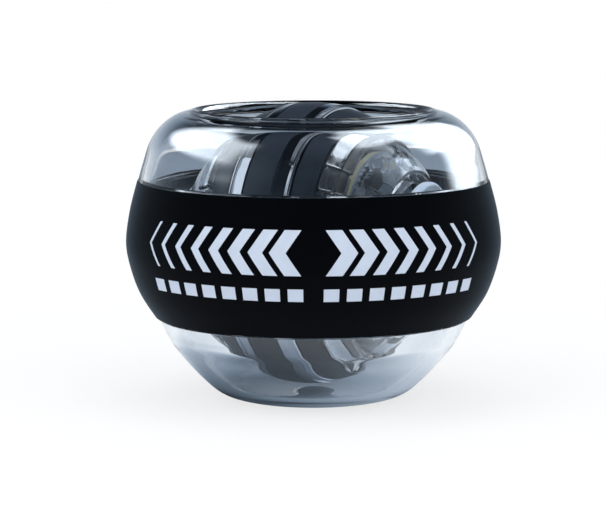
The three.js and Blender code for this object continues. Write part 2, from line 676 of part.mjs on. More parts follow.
const spoolWall = 0.8;
const windingDepth = 2.5;
const spoolCore = hubRadius + seatGap + spoolWall;
const windingInner = spoolCore + seatGap;
const windingOuter = windingInner + windingDepth;
const spoolRadius = windingOuter + seatGap;
const flangeThickness = 0.7;
addPiece(rotorFrame, 'coil_bobbin', onAxle([
  [hubRadius + seatGap, onBoard],
  [spoolRadius, onBoard],
  [spoolRadius, onBoard + flangeThickness],
  [spoolCore, onBoard + flangeThickness],
  [spoolCore, hubEnd - flangeThickness],
  [spoolRadius, hubEnd - flangeThickness],
  [spoolRadius, hubEnd],
  [hubRadius + seatGap, hubEnd],
], drumSides), blackPlastic);
const windingOutline = tubeOutline(windingInner, windingOuter, onBoard + flangeThickness + seatGap,
  hubEnd - flangeThickness - seatGap);
addPiece(rotorFrame, 'copper_winding', onAxle(windingOutline, drumSides), copper);

// Lamps between the screws and the parts of their circuit
const lampInset = 2.9;
const lampPath = boardRadius - lampInset;
const lampLength = 4.6;
const lampWidth = 3.6;
const flatPart = (length, width, height) => block([onBoard, onBoard + height], [-length / 2, length / 2],
  [-width / 2, width / 2]);
lampAngles.forEach((angle, i) => {
  const lamp = flatPart(lampLength, lampWidth, lampHeight);
  addPiece(rotorFrame, `led_${i + 1}`, around(lamp, lampPath, angle), lampWhite);
});
const chipLength = 5;
const chipWidth = 4;
const chipHeight = 1.5;
const chipGap = 1.6;
const chipPath = spoolRadius + chipGap + chipWidth / 2;
const rectifierLength = 4;
const rectifierWidth = 3;
const capacitorRadius = 1.9;
const capacitorHeight = 2.4;
const [capacitorAngle, rectifierAngle, chipAngle] = boltAngles;
addPiece(rotorFrame, 'control_chip', around(flatPart(chipLength, chipWidth, chipHeight), chipPath, chipAngle),
  chipBlack);
addPiece(rotorFrame, 'rectifier', around(flatPart(rectifierLength, rectifierWidth, chipHeight), chipPath,
  rectifierAngle), chipBlack);
const capacitor = onAxle(rodOutline(capacitorRadius, onBoard, onBoard + capacitorHeight), smallSides);
addPiece(rotorFrame, 'capacitor', around(capacitor, chipPath, capacitorAngle), brass);

export default wristBall;
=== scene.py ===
# %% [markdown]
# A gyroscopic wrist ball is a heavy rotor inside a clear case. The ends of its axle roll in a groove round
# the inside of the case, and a carrier ring keeps them in line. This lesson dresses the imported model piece
# by piece: round pieces are turned again with many more sides and softened edges, because a clear case
# shows every facet.

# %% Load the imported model
import math
import bmesh
import bpy
from mathutils import Matrix, Vector


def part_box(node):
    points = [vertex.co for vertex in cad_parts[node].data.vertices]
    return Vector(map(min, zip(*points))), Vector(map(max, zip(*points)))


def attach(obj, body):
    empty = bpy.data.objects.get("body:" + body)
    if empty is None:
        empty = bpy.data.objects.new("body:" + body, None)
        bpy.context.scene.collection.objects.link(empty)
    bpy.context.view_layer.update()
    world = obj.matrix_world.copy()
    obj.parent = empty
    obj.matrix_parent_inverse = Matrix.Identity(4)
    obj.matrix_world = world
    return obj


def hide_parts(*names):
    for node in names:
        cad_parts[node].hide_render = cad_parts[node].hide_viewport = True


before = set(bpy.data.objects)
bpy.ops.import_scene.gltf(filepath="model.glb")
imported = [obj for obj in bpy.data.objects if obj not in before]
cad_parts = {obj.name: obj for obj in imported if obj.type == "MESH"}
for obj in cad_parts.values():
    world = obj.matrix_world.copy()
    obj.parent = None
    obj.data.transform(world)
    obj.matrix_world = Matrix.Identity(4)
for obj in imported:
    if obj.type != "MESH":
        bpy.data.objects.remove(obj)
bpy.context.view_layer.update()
MM = 0.001

# %% [markdown]
# Outer sizes come from the frame: the box of a node gives its widest radius, which is half the box across,
# and its two ends along the axle. Sizes inside a piece don't show in a box, so they are written down as in
# the solids.

# %% Main sizes
AXLE_HEIGHT = sum(corner.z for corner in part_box("axle")) / 2
CASE_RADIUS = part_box("grip_band")[1].x
RIM_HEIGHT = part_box("upper_shell")[1].z
ROTOR_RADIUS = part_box("rotor_centre_band")[1].y
SEAT_GAP = 0.3 * MM
print(f"axle at {AXLE_HEIGHT / MM:.2f}, case radius {CASE_RADIUS / MM:.2f}, rim {RIM_HEIGHT / MM:.2f} mm")


def ends_along_axle(node):
    """Where a node starts and ends along the axle, in metres."""
    low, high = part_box(node)
    return low.x, high.x


# %% [markdown]
# The camera repeats the photograph: a long lens half a metre away and a little above the ball, 25.5
# degrees round from the plane of the rotor's wheel. The frame is 606 by 531 pixels. The ball sits right of
# its middle and above it, which a small lens shift gives.

# %% Camera
VIEW_SIDE = math.radians(25.5)
CAMERA_DISTANCE, CAMERA_HEIGHT, AIM_HEIGHT = 480 * MM, 89.5 * MM, 28 * MM
FRAME_WIDTH_PX, FRAME_HEIGHT_PX = 606, 531
AIM_X_PX, AIM_Y_PX = 313.5, 247.5
FOCAL_PX = 2585.65
SENSOR_WIDTH = 36


def in_scene(name, data):
    """A new object of the scene, made from its data."""
    made = bpy.data.objects.new(name, data)
    bpy.context.scene.collection.objects.link(made)
    return made


def turn_to(seer, target):
    """Turns a camera or a lamp to face a point."""
    seer.rotation_euler = (target - seer.location).to_track_quat("-Z", "Y").to_euler()


camera_data = bpy.data.cameras.new("camera")
camera_data.sensor_width = SENSOR_WIDTH
camera_data.lens = FOCAL_PX / FRAME_WIDTH_PX * SENSOR_WIDTH
camera_data.shift_x = -(AIM_X_PX - FRAME_WIDTH_PX / 2) / FRAME_WIDTH_PX
camera_data.shift_y = (AIM_Y_PX - FRAME_HEIGHT_PX / 2) / FRAME_WIDTH_PX
camera_data.clip_start = 10 * MM
camera = in_scene("camera", camera_data)
camera.location = (
    CAMERA_DISTANCE * math.sin(VIEW_SIDE), -CAMERA_DISTANCE * math.cos(VIEW_SIDE), CAMERA_HEIGHT)
turn_to(camera, Vector((0, 0, AIM_HEIGHT)))
bpy.context.scene.camera = camera
print(f"lens {camera_data.lens:.1f} mm, shift {camera_data.shift_x:.4f}, {camera_data.shift_y:.4f}")

# %% [markdown]
# The surround is white to the camera and to glossy and clear pieces, and a plain, slightly blue light to
# matte ones. A Light Path node tells which of them is looking. The few node helpers here serve all
# materials: each adds one node or a short run of nodes, and joins them by name.

# %% Node helpers


def place(tree, kind, **values):
    """Adds a shader node. A value sets a property or an input by name, or joins a socket to the input."""
    node = tree.nodes.new(kind)
    for key, value in values.items():
        if key not in node.inputs:
            setattr(node, key, value)
        elif isinstance(value, bpy.types.NodeSocket):
            tree.links.new(value, node.inputs[key])
        else:
            node.inputs[key].default_value = value
    return node


def chain(tree, value, operation, other=0.0):
    """One step of arithmetic; other is a socket or a number."""
    step = place(tree, "ShaderNodeMath", operation=operation)
    tree.links.new(value, step.inputs[0])
    if isinstance(other, (int, float)):
        step.inputs[1].default_value = other
    else:
        tree.links.new(other, step.inputs[1])
    return step.outputs[0]


def ramp(tree, value, low, high, start=0.0, end=1.0, kind="LINEAR"):
    """Maps a value between low and high to a value between start and end."""
    ends = {"Value": value, "From Min": low, "From Max": high, "To Min": start, "To Max": end}
    return place(tree, "ShaderNodeMapRange", interpolation_type=kind, **ends).outputs[0]


def tint(tree, share, first, second):
    """A colour that runs from the first to the second as share runs from 0 to 1."""
    mix = place(tree, "ShaderNodeMix", data_type="RGBA")
    tree.links.new(share, mix.inputs[0])
    mix.inputs[6].default_value, mix.inputs[7].default_value = first, second
    return mix.outputs[2]


def blend(tree, share, first, second):
    """A shader that is the first where share is 0 and the second where it is 1."""
    mix = place(tree, "ShaderNodeMixShader")
    for source, socket in zip((share, first.outputs[0], second.outputs[0]), mix.inputs):
        tree.links.new(source, socket)
    return mix


def object_spot(tree):
    """The place on the object, in metres."""
    return place(tree, "ShaderNodeTexCoord").outputs["Object"]


# %% White surround
bpy.context.scene.view_settings.view_transform = "Standard"
WHITE = (1, 1, 1, 1)
SURROUND_TONE, SURROUND_LEVEL = (0.75, 0.87, 1, 1), 0.5


def seen_directly(tree):
    """1 for what the camera, a gloss or a clear piece sees, and 0 for diffuse light."""
    rays = place(tree, "ShaderNodeLightPath").outputs
    seen = chain(tree, rays["Is Camera Ray"], "MAXIMUM", rays["Is Transmission Ray"])
    return chain(tree, seen, "MAXIMUM", rays["Is Glossy Ray"])


def empty_tree(owner):
    """The node tree of a material or of the world, cleared."""
    owner.use_nodes = True
    owner.node_tree.nodes.clear()
    return owner.node_tree


world = bpy.data.worlds.new("white_surround")
bpy.context.scene.world = world
tree = empty_tree(world)
plain_light = place(tree, "ShaderNodeBackground", Color=SURROUND_TONE, Strength=SURROUND_LEVEL)
white_background = place(tree, "ShaderNodeBackground", Color=WHITE, Strength=1.0)
surround = blend(tree, seen_directly(tree), plain_light, white_background)
place(tree, "ShaderNodeOutputWorld", Surface=surround.outputs[0])
print("surround:", world.name, "level", SURROUND_LEVEL)

# %% [markdown]
# The floor shows three faces. To the camera it glows white, and only close to the ball does its matte
# paint come through, which keeps the ball's shadow. To clear and glossy pieces it is dark under the ball
# and dims again far away, as a floor in shade does, and that is what gives clear plastic its dark edges.
# To light that comes from a matte piece through the clear shell it is one plain level.

# %% Light helpers
COOL_SHADE, COOL_WHITE = (0.5, 0.72, 1, 1), (0.9, 0.95, 1, 1)


def cool(tree, level):
    """Light at a level from 0 to 1: the dimmer it is, the cooler its tone."""
    tone = tint(tree, level, COOL_SHADE, COOL_WHITE)
    return place(tree, "ShaderNodeEmission", Color=tone, Strength=level)


def after_matte(tree):
    """1 for light that comes from a matte surface, and 0 for other light."""
    depth = place(tree, "ShaderNodeLightPath").outputs["Diffuse Depth"]
    return chain(tree, depth, "GREATER_THAN", 0.5)


def floor_distance(tree, middle=(0, 0, 0)):
    """How far a place on the floor is from a middle."""
    gap = place(tree, "ShaderNodeVectorMath", operation="DISTANCE")
    tree.links.new(object_spot(tree), gap.inputs[0])
    gap.inputs[1].default_value = middle
    return gap.outputs["Value"]


def stage_piece(name, corners, faces, material):
    """A piece of the studio, which isn't part of the ball."""
    mesh = bpy.data.meshes.new(name)
    mesh.from_pydata(corners, [], faces)
    mesh.materials.append(material)
    piece = in_scene(name, mesh)
    return piece


# %% Floor
FLOOR_HALF = 3.0
FLOOR_COLOUR = (0.9, 0.91, 0.93, 1)
GLOW_NEAR, GLOW_FAR, GLOW_START, GLOW_END = 0.76, 1.0, 0.03, 0.13
BELOW_NEAR, BELOW_START, BELOW_END = 0.05, 0.009, 0.04
DISTANT_LEVEL, DISTANT_START, DISTANT_END = 0.4, 0.1, 0.26
SHADE_SHIFT = 7 * MM
MATTE_TONE, MATTE_BELOW = (0.78, 0.89, 1.0, 1), 0.12

floor_paint = bpy.data.materials.new("white_floor")
tree = empty_tree(floor_paint)
by_camera = place(tree, "ShaderNodeLightPath").outputs["Is Camera Ray"]
from_ball = floor_distance(tree)
matte_floor = place(tree, "ShaderNodeBsdfDiffuse", Color=FLOOR_COLOUR)
glow = place(tree, "ShaderNodeEmission", Color=WHITE, Strength=1.0)
glow_share = ramp(tree, from_ball, GLOW_START, GLOW_END, GLOW_NEAR, GLOW_FAR)
for_camera = blend(tree, chain(tree, by_camera, "MULTIPLY", glow_share), matte_floor, glow)
shade_middle = (-SHADE_SHIFT * math.cos(VIEW_SIDE), -SHADE_SHIFT * math.sin(VIEW_SIDE), 0)
near_share = ramp(tree, floor_distance(tree, shade_middle), BELOW_START, BELOW_END, BELOW_NEAR, 1.0)
distant_share = ramp(tree, from_ball, DISTANT_START, DISTANT_END, 1.0, DISTANT_LEVEL)
shaded = cool(tree, chain(tree, near_share, "MULTIPLY", distant_share))
for_matte = place(tree, "ShaderNodeEmission", Color=MATTE_TONE, Strength=MATTE_BELOW)
for_clear = blend(tree, after_matte(tree), shaded, for_matte)
clear_share = chain(tree, seen_directly(tree), "SUBTRACT", by_camera)
floor_face = blend(tree, clear_share, for_camera, for_clear)
place(tree, "ShaderNodeOutputMaterial", Surface=floor_face.outputs[0])
floor_corners = [(x * FLOOR_HALF, y * FLOOR_HALF, 0) for x, y in ((-1, -1), (1, -1), (1, 1), (-1, 1))]
floor = stage_piece("floor", floor_corners, [(0, 1, 2, 3)], floor_paint)
print("floor:", len(tree.nodes), "nodes,", tuple(floor.dimensions), "m")

# %% [markdown]
# Three large soft lamps light the matte surfaces: two at the camera's sides and one behind, above the
# ball. Their power is set so that a colour outside the shell renders about as it is written. Gloss and
# clear plastic don't see them, because the panels of the next step are what they mirror.

# %% Lamps
BALL_MIDDLE = Vector((0, 0, AXLE_HEIGHT))
LAMP_POWER, LAMP_TONE = 1.1, (0.96, 0.98, 1.0)


def toward(side_degrees, height_degrees, distance):
    """A point seen from the ball at an angle from the camera's side and at a height above the horizon."""
    side = VIEW_SIDE + math.radians(side_degrees)
    up = math.radians(height_degrees)
    flat = math.cos(up)
    return BALL_MIDDLE + distance * Vector((math.sin(side) * flat, -math.cos(side) * flat, math.sin(up)))


for name, side, height, distance, width, tall in (
        ("left_lamp", -55, 50, 0.5, 0.34, 0.34),
        ("right_lamp", 50, 50, 0.5, 0.42, 0.34),
        ("top_lamp", 180, 72, 0.6, 0.5, 0.4)):
    lamp_data = bpy.data.lights.new(name, "AREA")
    lamp_data.shape = "RECTANGLE"
    lamp_data.size, lamp_data.size_y = width, tall
    lamp_data.energy, lamp_data.color = LAMP_POWER, LAMP_TONE
    lamp = in_scene(name, lamp_data)
    lamp.location = toward(side, height, distance)
    turn_to(lamp, BALL_MIDDLE)
    lamp.visible_camera = lamp.visible_glossy = lamp.visible_transmission = False
    print(f"{name}: {LAMP_POWER} W at {side} degrees round, {height} up")

# %% [markdown]
# Clear plastic only shows by what it bends and mirrors, so, as a product photographer does, large soft
# panels stand at both sides and a dark hood hangs over the ball. Both are parts of spheres round the ball,
# so that each covers a plain range of directions. Only glossy and clear surfaces see them. A panel is
# bright in a first sharp reflection, which draws the white shapes on the domes, and dim in soft ones.

# %% Parts of the sky
PATCH_ROUND, PATCH_UP = 48, 16


def sky_patch(name, sides, heights, radius, material):
    """Part of a sphere round the ball, between two sides and two heights in degrees."""
    corners, faces = [], []
    for j in range(PATCH_UP + 1):
        height = heights[0] + (heights[1] - heights[0]) * j / PATCH_UP
        for i in range(PATCH_ROUND + 1):
            corners.append(toward(sides[0] + (sides[1] - sides[0]) * i / PATCH_ROUND, height, radius))
    row = PATCH_ROUND + 1
    for j in range(PATCH_UP):
        for i in range(PATCH_ROUND):
            k = j * row + i
            faces.append((k, k + 1, k + row + 1, k + row))
    patch = stage_piece(name, corners, faces, material)
    places = patch.data.uv_layers.new(name="patch")
    for loop in patch.data.loops:
        j, i = divmod(loop.vertex_index, row)
        places.data[loop.index].uv = (i / PATCH_ROUND, j / PATCH_UP)
    patch.visible_camera = patch.visible_diffuse = patch.visible_shadow = False
    print(f"{name}: {sides} degrees round, {heights} up")


# %% Soft panels
PANEL_THROUGH, PANEL_SHARP, PANEL_SOFT = 1.1, 13, 0.3
PANEL_TONE, PANEL_EDGE = (0.82, 0.91, 1.0, 1), 0.2

panel_light = bpy.data.materials.new("soft_panel")
tree = empty_tree(panel_light)
rays = place(tree, "ShaderNodeLightPath").outputs
through = rays["Is Transmission Ray"]
mirrored_ray = chain(tree, chain(tree, rays["Is Singular Ray"], "SUBTRACT", through), "MAXIMUM", 0)
first_bounce = chain(tree, rays["Ray Depth"], "LESS_THAN", 1.5)
mirrored_first = chain(tree, mirrored_ray, "MULTIPLY", first_bounce)
in_gloss = ramp(tree, mirrored_first, 0, 1, PANEL_SOFT, PANEL_SHARP)
level = chain(tree, in_gloss, "MAXIMUM", chain(tree, through, "MULTIPLY", PANEL_THROUGH))
on_patch = place(tree, "ShaderNodeTexCoord").outputs["UV"]
apart = place(tree, "ShaderNodeSeparateXYZ", Vector=on_patch).outputs
for axis in (0, 1):
    from_middle = chain(tree, chain(tree, apart[axis], "SUBTRACT", 0.5), "ABSOLUTE")
    fall = ramp(tree, from_middle, 0.5, 0.5 - PANEL_EDGE, kind="SMOOTHSTEP")
    level = chain(tree, level, "MULTIPLY", fall)
shine = place(tree, "ShaderNodeEmission", Color=PANEL_TONE, Strength=level)
see_past = place(tree, "ShaderNodeBsdfTransparent")
both = place(tree, "ShaderNodeAddShader")
tree.links.new(shine.outputs[0], both.inputs[0])
tree.links.new(see_past.outputs[0], both.inputs[1])
place(tree, "ShaderNodeOutputMaterial", Surface=both.outputs[0])
print("soft_panel:", len(tree.nodes), "nodes")

# %% [markdown]
# The hood is near black overhead and lightens to a grey blue at the horizon, which tints the edges of the
# clear shells. Clear plastic holds back the light of lamps here, so for light from a matte piece the hood
# has a plain level, which stands in for what such a piece would get. Panels that overlap stand at slightly
# different distances.

# %% Hood
HOOD_RADIUS, PANEL_RADIUS = 1.1, 0.9
LOW_PANEL_RADIUS, OVERHEAD_PANEL_RADIUS = PANEL_RADIUS * 0.99, PANEL_RADIUS * 0.98
HOOD_LEVEL_LOW, HOOD_LEVEL_HIGH, HOOD_FADE_HEIGHT = 0.68, 0.015, 0.62
MATTE_LEVEL = 1.6

hood_cloth = bpy.data.materials.new("graded_hood")
tree = empty_tree(hood_cloth)
apart = place(tree, "ShaderNodeSeparateXYZ", Vector=object_spot(tree)).outputs
fade = ramp(tree, apart[2], 0.0, HOOD_FADE_HEIGHT, HOOD_LEVEL_LOW, HOOD_LEVEL_HIGH, "SMOOTHSTEP")
inner_light = place(tree, "ShaderNodeEmission", Color=MATTE_TONE, Strength=MATTE_LEVEL)
hood_face = blend(tree, after_matte(tree), cool(tree, fade), inner_light)
place(tree, "ShaderNodeOutputMaterial", Surface=hood_face.outputs[0])
for name, sides, heights, radius, material in (
        ("hood", (-180, 180), (2, 90), HOOD_RADIUS, hood_cloth),
        ("left_panel", (-148, -50), (20, 62), PANEL_RADIUS, panel_light),
        ("right_panel", (86, 160), (23, 60), PANEL_RADIUS, panel_light),
        ("right_low_panel", (98, 158), (4, 34), LOW_PANEL_RADIUS, panel_light),
        ("overhead_panel", (34, 150), (52, 84), OVERHEAD_PANEL_RADIUS, panel_light)):
    sky_patch(name, sides, heights, radius, material)

# %% [markdown]
# Three effects are shared by several finishes, so each is a node group. Fine grain is what moulding leaves
# on plastic and silicone. Turning lines are the faint rings that a lathe or a polishing wheel leaves on
# metal, so they depend only on the distance from the axle and along it. Handling haze is the patchy film
# that fingers leave on gloss.

# %% Group helpers
RELIEF_INPUTS = ("Scale", "Depth", "Roughness", "Spread")
RELIEF_OUTPUTS = {"Normal": "NodeSocketVector", "Roughness": "NodeSocketFloat"}


def new_group(name, inputs, outputs):
    """An empty node group, with the sockets that it is given and those that it fills."""
    group = bpy.data.node_groups.new(name, "ShaderNodeTree")
    for socket_name, default in inputs.items():
        socket = group.interface.new_socket(socket_name, in_out="INPUT", socket_type="NodeSocketFloat")
        socket.default_value = default
    for socket_name, kind in outputs.items():
        group.interface.new_socket(socket_name, in_out="OUTPUT", socket_type=kind)
    return group, group.nodes.new("NodeGroupInput").outputs, group.nodes.new("NodeGroupOutput").inputs


def relief(group, given, result, spot, detail, distance):
    """Bumps the surface by a noise at a spot, and gives that noise."""
    noise = place(group, "ShaderNodeTexNoise", Vector=spot, Scale=given["Scale"], Detail=detail).outputs[0]
    bump = place(group, "ShaderNodeBump", Distance=distance, Strength=given["Depth"], Height=noise)
    group.links.new(bump.outputs[0], result["Normal"])
    return noise


def vary_roughness(group, given, result, noise):
    """Lets the roughness drift up and down with a noise."""
    spread = chain(group, chain(group, noise, "SUBTRACT", 0.5), "MULTIPLY", given["Spread"])
    group.links.new(chain(group, spread, "ADD", given["Roughness"]), result["Roughness"])


# %% Fine grain
fine_grain, given, result = new_group(
    "fine_grain", dict(zip(RELIEF_INPUTS, (2500.0, 0.2, 0.5, 0.1))), RELIEF_OUTPUTS)
relief(fine_grain, given, result, object_spot(fine_grain), detail=3.0, distance=0.02 * MM)
blotches = place(fine_grain, "ShaderNodeTexNoise", Vector=object_spot(fine_grain), Scale=120.0, Detail=4.0)
vary_roughness(fine_grain, given, result, blotches.outputs[0])
print("fine_grain:", len(fine_grain.nodes), "nodes")

# %% Turning lines
turning_lines, given, result = new_group(
    "turning_lines", dict(zip(RELIEF_INPUTS, (9000.0, 0.2, 0.2, 0.1))), RELIEF_OUTPUTS)
apart = place(turning_lines, "ShaderNodeSeparateXYZ", Vector=object_spot(turning_lines)).outputs
above_axle = chain(turning_lines, apart[2], "SUBTRACT", AXLE_HEIGHT)
square_y = chain(turning_lines, apart[1], "MULTIPLY", apart[1])
square_z = chain(turning_lines, above_axle, "MULTIPLY", above_axle)
from_axle = chain(turning_lines, chain(turning_lines, square_y, "ADD", square_z), "SQRT", 0)
unrolled = place(turning_lines, "ShaderNodeCombineXYZ", X=apart[0], Y=from_axle).outputs[0]
lines = relief(turning_lines, given, result, unrolled, detail=2.0, distance=0.01 * MM)
vary_roughness(turning_lines, given, result, lines)
print("turning_lines:", len(turning_lines.nodes), "nodes")

# %% Handling haze
FILM_FROM, FILM_FULL = 0.52, 0.72
handling_haze, given, result = new_group(
    "handling_haze", {"Scale": 60.0, "Amount": 0.05, "Roughness": 0.02},
    {"Roughness": "NodeSocketFloat", "Mask": "NodeSocketFloat"})
film = place(handling_haze, "ShaderNodeTexNoise", Vector=object_spot(handling_haze), Scale=given["Scale"],
             Detail=6.0, Roughness=0.62)
patches = ramp(handling_haze, film.outputs[0], FILM_FROM, FILM_FULL)
hazed = chain(handling_haze, patches, "MULTIPLY", given["Amount"])
handling_haze.links.new(chain(handling_haze, hazed, "ADD", given["Roughness"]), result["Roughness"])
handling_haze.links.new(patches, result["Mask"])
print("groups:", [group.name for group in bpy.data.node_groups])

# %% [markdown]
# Every finish starts from one Principled shader. The helper joins a group's roughness and normal to it,
# and lets the colour drift a little between two close tones, because no moulded or plated surface has one
# flat colour. The row of numbers after a group is its inputs in their order: scale, depth, roughness and
# spread, or for haze scale, amount and roughness.


def finish(name, slot, tones, group=None, settings=(), tone_scale=90.0, **shader_values):
    """A material whose colour drifts between two tones, with a group's roughness and normal."""
    material = bpy.data.materials.new(name)
    material.use_nodes = True
    tree = material.node_tree
    shader = tree.nodes["Principled BSDF"]
    for key, value in shader_values.items():
        shader.inputs[key.replace("_", " ")].default_value = value
    drift = place(tree, "ShaderNodeTexNoise", Vector=object_spot(tree), Scale=tone_scale, Detail=3.0)
    first, second = [(*tone, 1) for tone in tones]
    tree.links.new(tint(tree, drift.outputs[0], first, second), shader.inputs["Base Color"])
    if group is not None:
        effect = place(tree, "ShaderNodeGroup")
        effect.node_tree = group
        for socket, value in zip(effect.inputs, settings):
            socket.default_value = value
        for output in ("Roughness", "Normal"):
            if output in effect.outputs:
                tree.links.new(effect.outputs[output], shader.inputs[output])
    return material


# %% Clear and moulded finishes
FILM_SCALE, FILM_WEIGHT = 70.0, 0.12
CLEAR = finish("clear_plastic", "clear_plastic", [(0.945, 0.968, 0.99), (0.965, 0.98, 0.995)],
               Transmission_Weight=1.0, IOR=1.5, Roughness=0.0, Coat_Roughness=0.35)
tree = CLEAR.node_tree
film = place(tree, "ShaderNodeGroup")
film.node_tree = handling_haze
film.inputs["Scale"].default_value = FILM_SCALE
film_weight = chain(tree, film.outputs["Mask"], "MULTIPLY", FILM_WEIGHT)
tree.links.new(film_weight, tree.nodes["Principled BSDF"].inputs["Coat Weight"])
CLEAR_CAP = finish("clear_cap_plastic", "clear_plastic", [(0.95, 0.97, 1.0), (0.97, 0.985, 1.0)],
                   handling_haze, (110.0, 0.04, 0.01), Transmission_Weight=0.97, IOR=1.48)
SILICONE = finish("black_silicone", "black_silicone", [(0.0003, 0.0006, 0.0012), (0.0008, 0.0013, 0.0024)],
                  fine_grain, (5200.0, 0.35, 0.7, 0.12), IOR=1.15,
                  Sheen_Weight=0.2, Sheen_Roughness=0.3, Sheen_Tint=(0.6, 0.8, 1, 1))
PRINT_WHITE = finish("pale_print", None, [(0.57, 0.61, 0.69), (0.66, 0.7, 0.78)],
                     fine_grain, (7000.0, 0.25, 0.5, 0.15), tone_scale=350.0)
BLACK_PLASTIC = finish("black_plastic", "black_plastic", [(0.008, 0.009, 0.012), (0.014, 0.015, 0.02)],
                       fine_grain, (3500.0, 0.2, 0.35, 0.1))
SATIN_BAND = finish("dark_satin_plastic", "dark_plastic", [(0.018, 0.025, 0.036), (0.028, 0.037, 0.05)],
                    turning_lines, (6000.0, 0.25, 0.36, 0.12), IOR=1.38)
SILVER_PLASTIC = finish("silver_grey_plastic", "grey_plastic", [(0.6, 0.66, 0.74), (0.68, 0.74, 0.82)],
                        fine_grain, (3000.0, 0.2, 0.38, 0.12))

# %% [markdown]
# Metals differ by their tones and by how deep their turning lines are: the plated flywheel is nearly a
# mirror, and the copper's lines are deep, as those of a winding. The board and its parts have a fine
# grain.

# %% Metal and board finishes
CHROME = finish("plated_flywheel", "plated_metal", [(0.72, 0.74, 0.78), (0.8, 0.82, 0.85)],
                turning_lines, (5000.0, 0.06, 0.07, 0.05), Metallic=1.0)
STEEL = finish("turned_steel", "steel", [(0.5, 0.51, 0.53), (0.62, 0.63, 0.65)],
               turning_lines, (9000.0, 0.2, 0.24, 0.1), Metallic=1.0)
BRASS = finish("worn_brass", "brass", [(0.62, 0.44, 0.17), (0.7, 0.52, 0.24)],
               turning_lines, (8000.0, 0.2, 0.26, 0.1), Metallic=1.0)
COPPER = finish("enamelled_copper", "copper", [(0.42, 0.16, 0.07), (0.58, 0.25, 0.11)],
                turning_lines, (3800.0, 0.8, 0.3, 0.1), Metallic=0.85)
MAGNET = finish("sintered_magnet", "magnet", [(0.14, 0.145, 0.155), (0.2, 0.205, 0.215)],
                fine_grain, (4000.0, 0.3, 0.4, 0.15), Metallic=0.9)
BOARD = finish("light_board", "board", [(0.19, 0.25, 0.32), (0.26, 0.33, 0.41)],
               fine_grain, (2600.0, 0.3, 0.42, 0.15))
BOARD_EDGE = finish("bare_board_edge", "board", [(0.5, 0.42, 0.22), (0.6, 0.5, 0.28)],
                    fine_grain, (4000.0, 0.4, 0.6, 0.1))
LAMP = finish("lamp_resin", "lamp", [(0.72, 0.77, 0.85), (0.82, 0.86, 0.92)],
              fine_grain, (3000.0, 0.1, 0.12, 0.08), Transmission_Weight=0.75)
LAMP_DIE = finish("lamp_die", "lamp", [(0.72, 0.62, 0.25), (0.82, 0.72, 0.35)],
                  fine_grain, (5000.0, 0.2, 0.4, 0.1))
CHIP = finish("chip_resin", "chip", [(0.012, 0.012, 0.014), (0.02, 0.02, 0.022)],
              fine_grain, (6000.0, 0.4, 0.55, 0.1))
SOLDER = finish("bright_solder", "steel", [(0.74, 0.75, 0.76), (0.84, 0.85, 0.86)],
                fine_grain, (4000.0, 0.3, 0.18, 0.1), Metallic=1.0)

# %% [markdown]
# Most pieces are turned: a closed outline of radius and distance along the axis is swept once round. The
# case turns about the vertical axis and the rotor about the axle. Edges sharper than 30 degrees are marked
# sharp and softened by a small bevel, whose bright line is what makes machined edges read as real.

# %% Mesh helpers
SHARP_ANGLE = math.radians(30)


def mark_sharp(bm):
    """Shades the faces smooth, and marks the edges between steep faces as sharp."""
    for face in bm.faces:
        face.smooth = True
    for line in bm.edges:
        line.smooth = not (len(line.link_faces) == 2 and line.calc_face_angle() > SHARP_ANGLE)


def as_object(name, bm):
    """Turns a bmesh into an object of the scene."""
    bmesh.ops.recalc_face_normals(bm, faces=bm.faces)
    mark_sharp(bm)
    mesh = bpy.data.meshes.new(name)
    bm.to_mesh(mesh)
    bm.free()
    return in_scene(name, mesh)


def mesh_piece(name, bm, material, body, node=None, slot=None, edge=0.0, edge_steps=2):
    """Turns a bmesh into a named piece that rides on a body and may stand for a CAD node."""
    piece = as_object(name, bm)
    piece.data.materials.append(material)
    if edge:
        bevel = piece.modifiers.new("softened_edges", "BEVEL")
        bevel.width = edge
        bevel.segments = edge_steps
        bevel.limit_method = "ANGLE"
        bevel.angle_limit = SHARP_ANGLE
        bevel.harden_normals = True
    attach(piece, body)
    if node:
        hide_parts(node)
    print(f"{name}: {len(piece.data.polygons)} faces, on {body}")
    return piece


# %% Turning helpers
UPRIGHT = Matrix.Identity(4)
ON_AXLE = Matrix.Translation((0, 0, AXLE_HEIGHT)) @ Matrix.Rotation(math.pi / 2, 4, "Y")
ON_THE_AXIS = 1e-9


def turned_mesh(outline, placing, sides):
    """A bmesh swept round from a closed outline of (radius, distance along the axis)."""
    bm = bmesh.new()
    around = [(math.cos(math.tau * k / sides), math.sin(math.tau * k / sides)) for k in range(sides)]
    rings = []
    for radius, along in outline:
        if radius < ON_THE_AXIS:
            rings.append([bm.verts.new((0, 0, along))] * sides)
        else:
            rings.append([bm.verts.new((radius * x, radius * y, along)) for x, y in around])
    for ring, after in zip(rings, rings[1:] + rings[:1]):
        for k in range(sides):
            corners = [ring[k], ring[(k + 1) % sides], after[(k + 1) % sides], after[k]]
            unique = list(dict.fromkeys(corners))
            if len(unique) > 2:
                bm.faces.new(unique)
    bmesh.ops.transform(bm, matrix=placing, verts=bm.verts)
    return bm


def turned(name, outline, material, body, node=None, placing=ON_AXLE, sides=144, **finish_edges):
    """A turned piece, on the axle unless another place is given."""
    return mesh_piece(name, turned_mesh(outline, placing, sides), material, body, node, **finish_edges)


def tube(inner, outer, start, end):
    """The outline of a plain ring."""
    return [(inner, start), (outer, start), (outer, end), (inner, end)]


def mirrored(outline):
    """The same outline for the other end of the axle."""
    return [(radius, -along) for radius, along in outline]


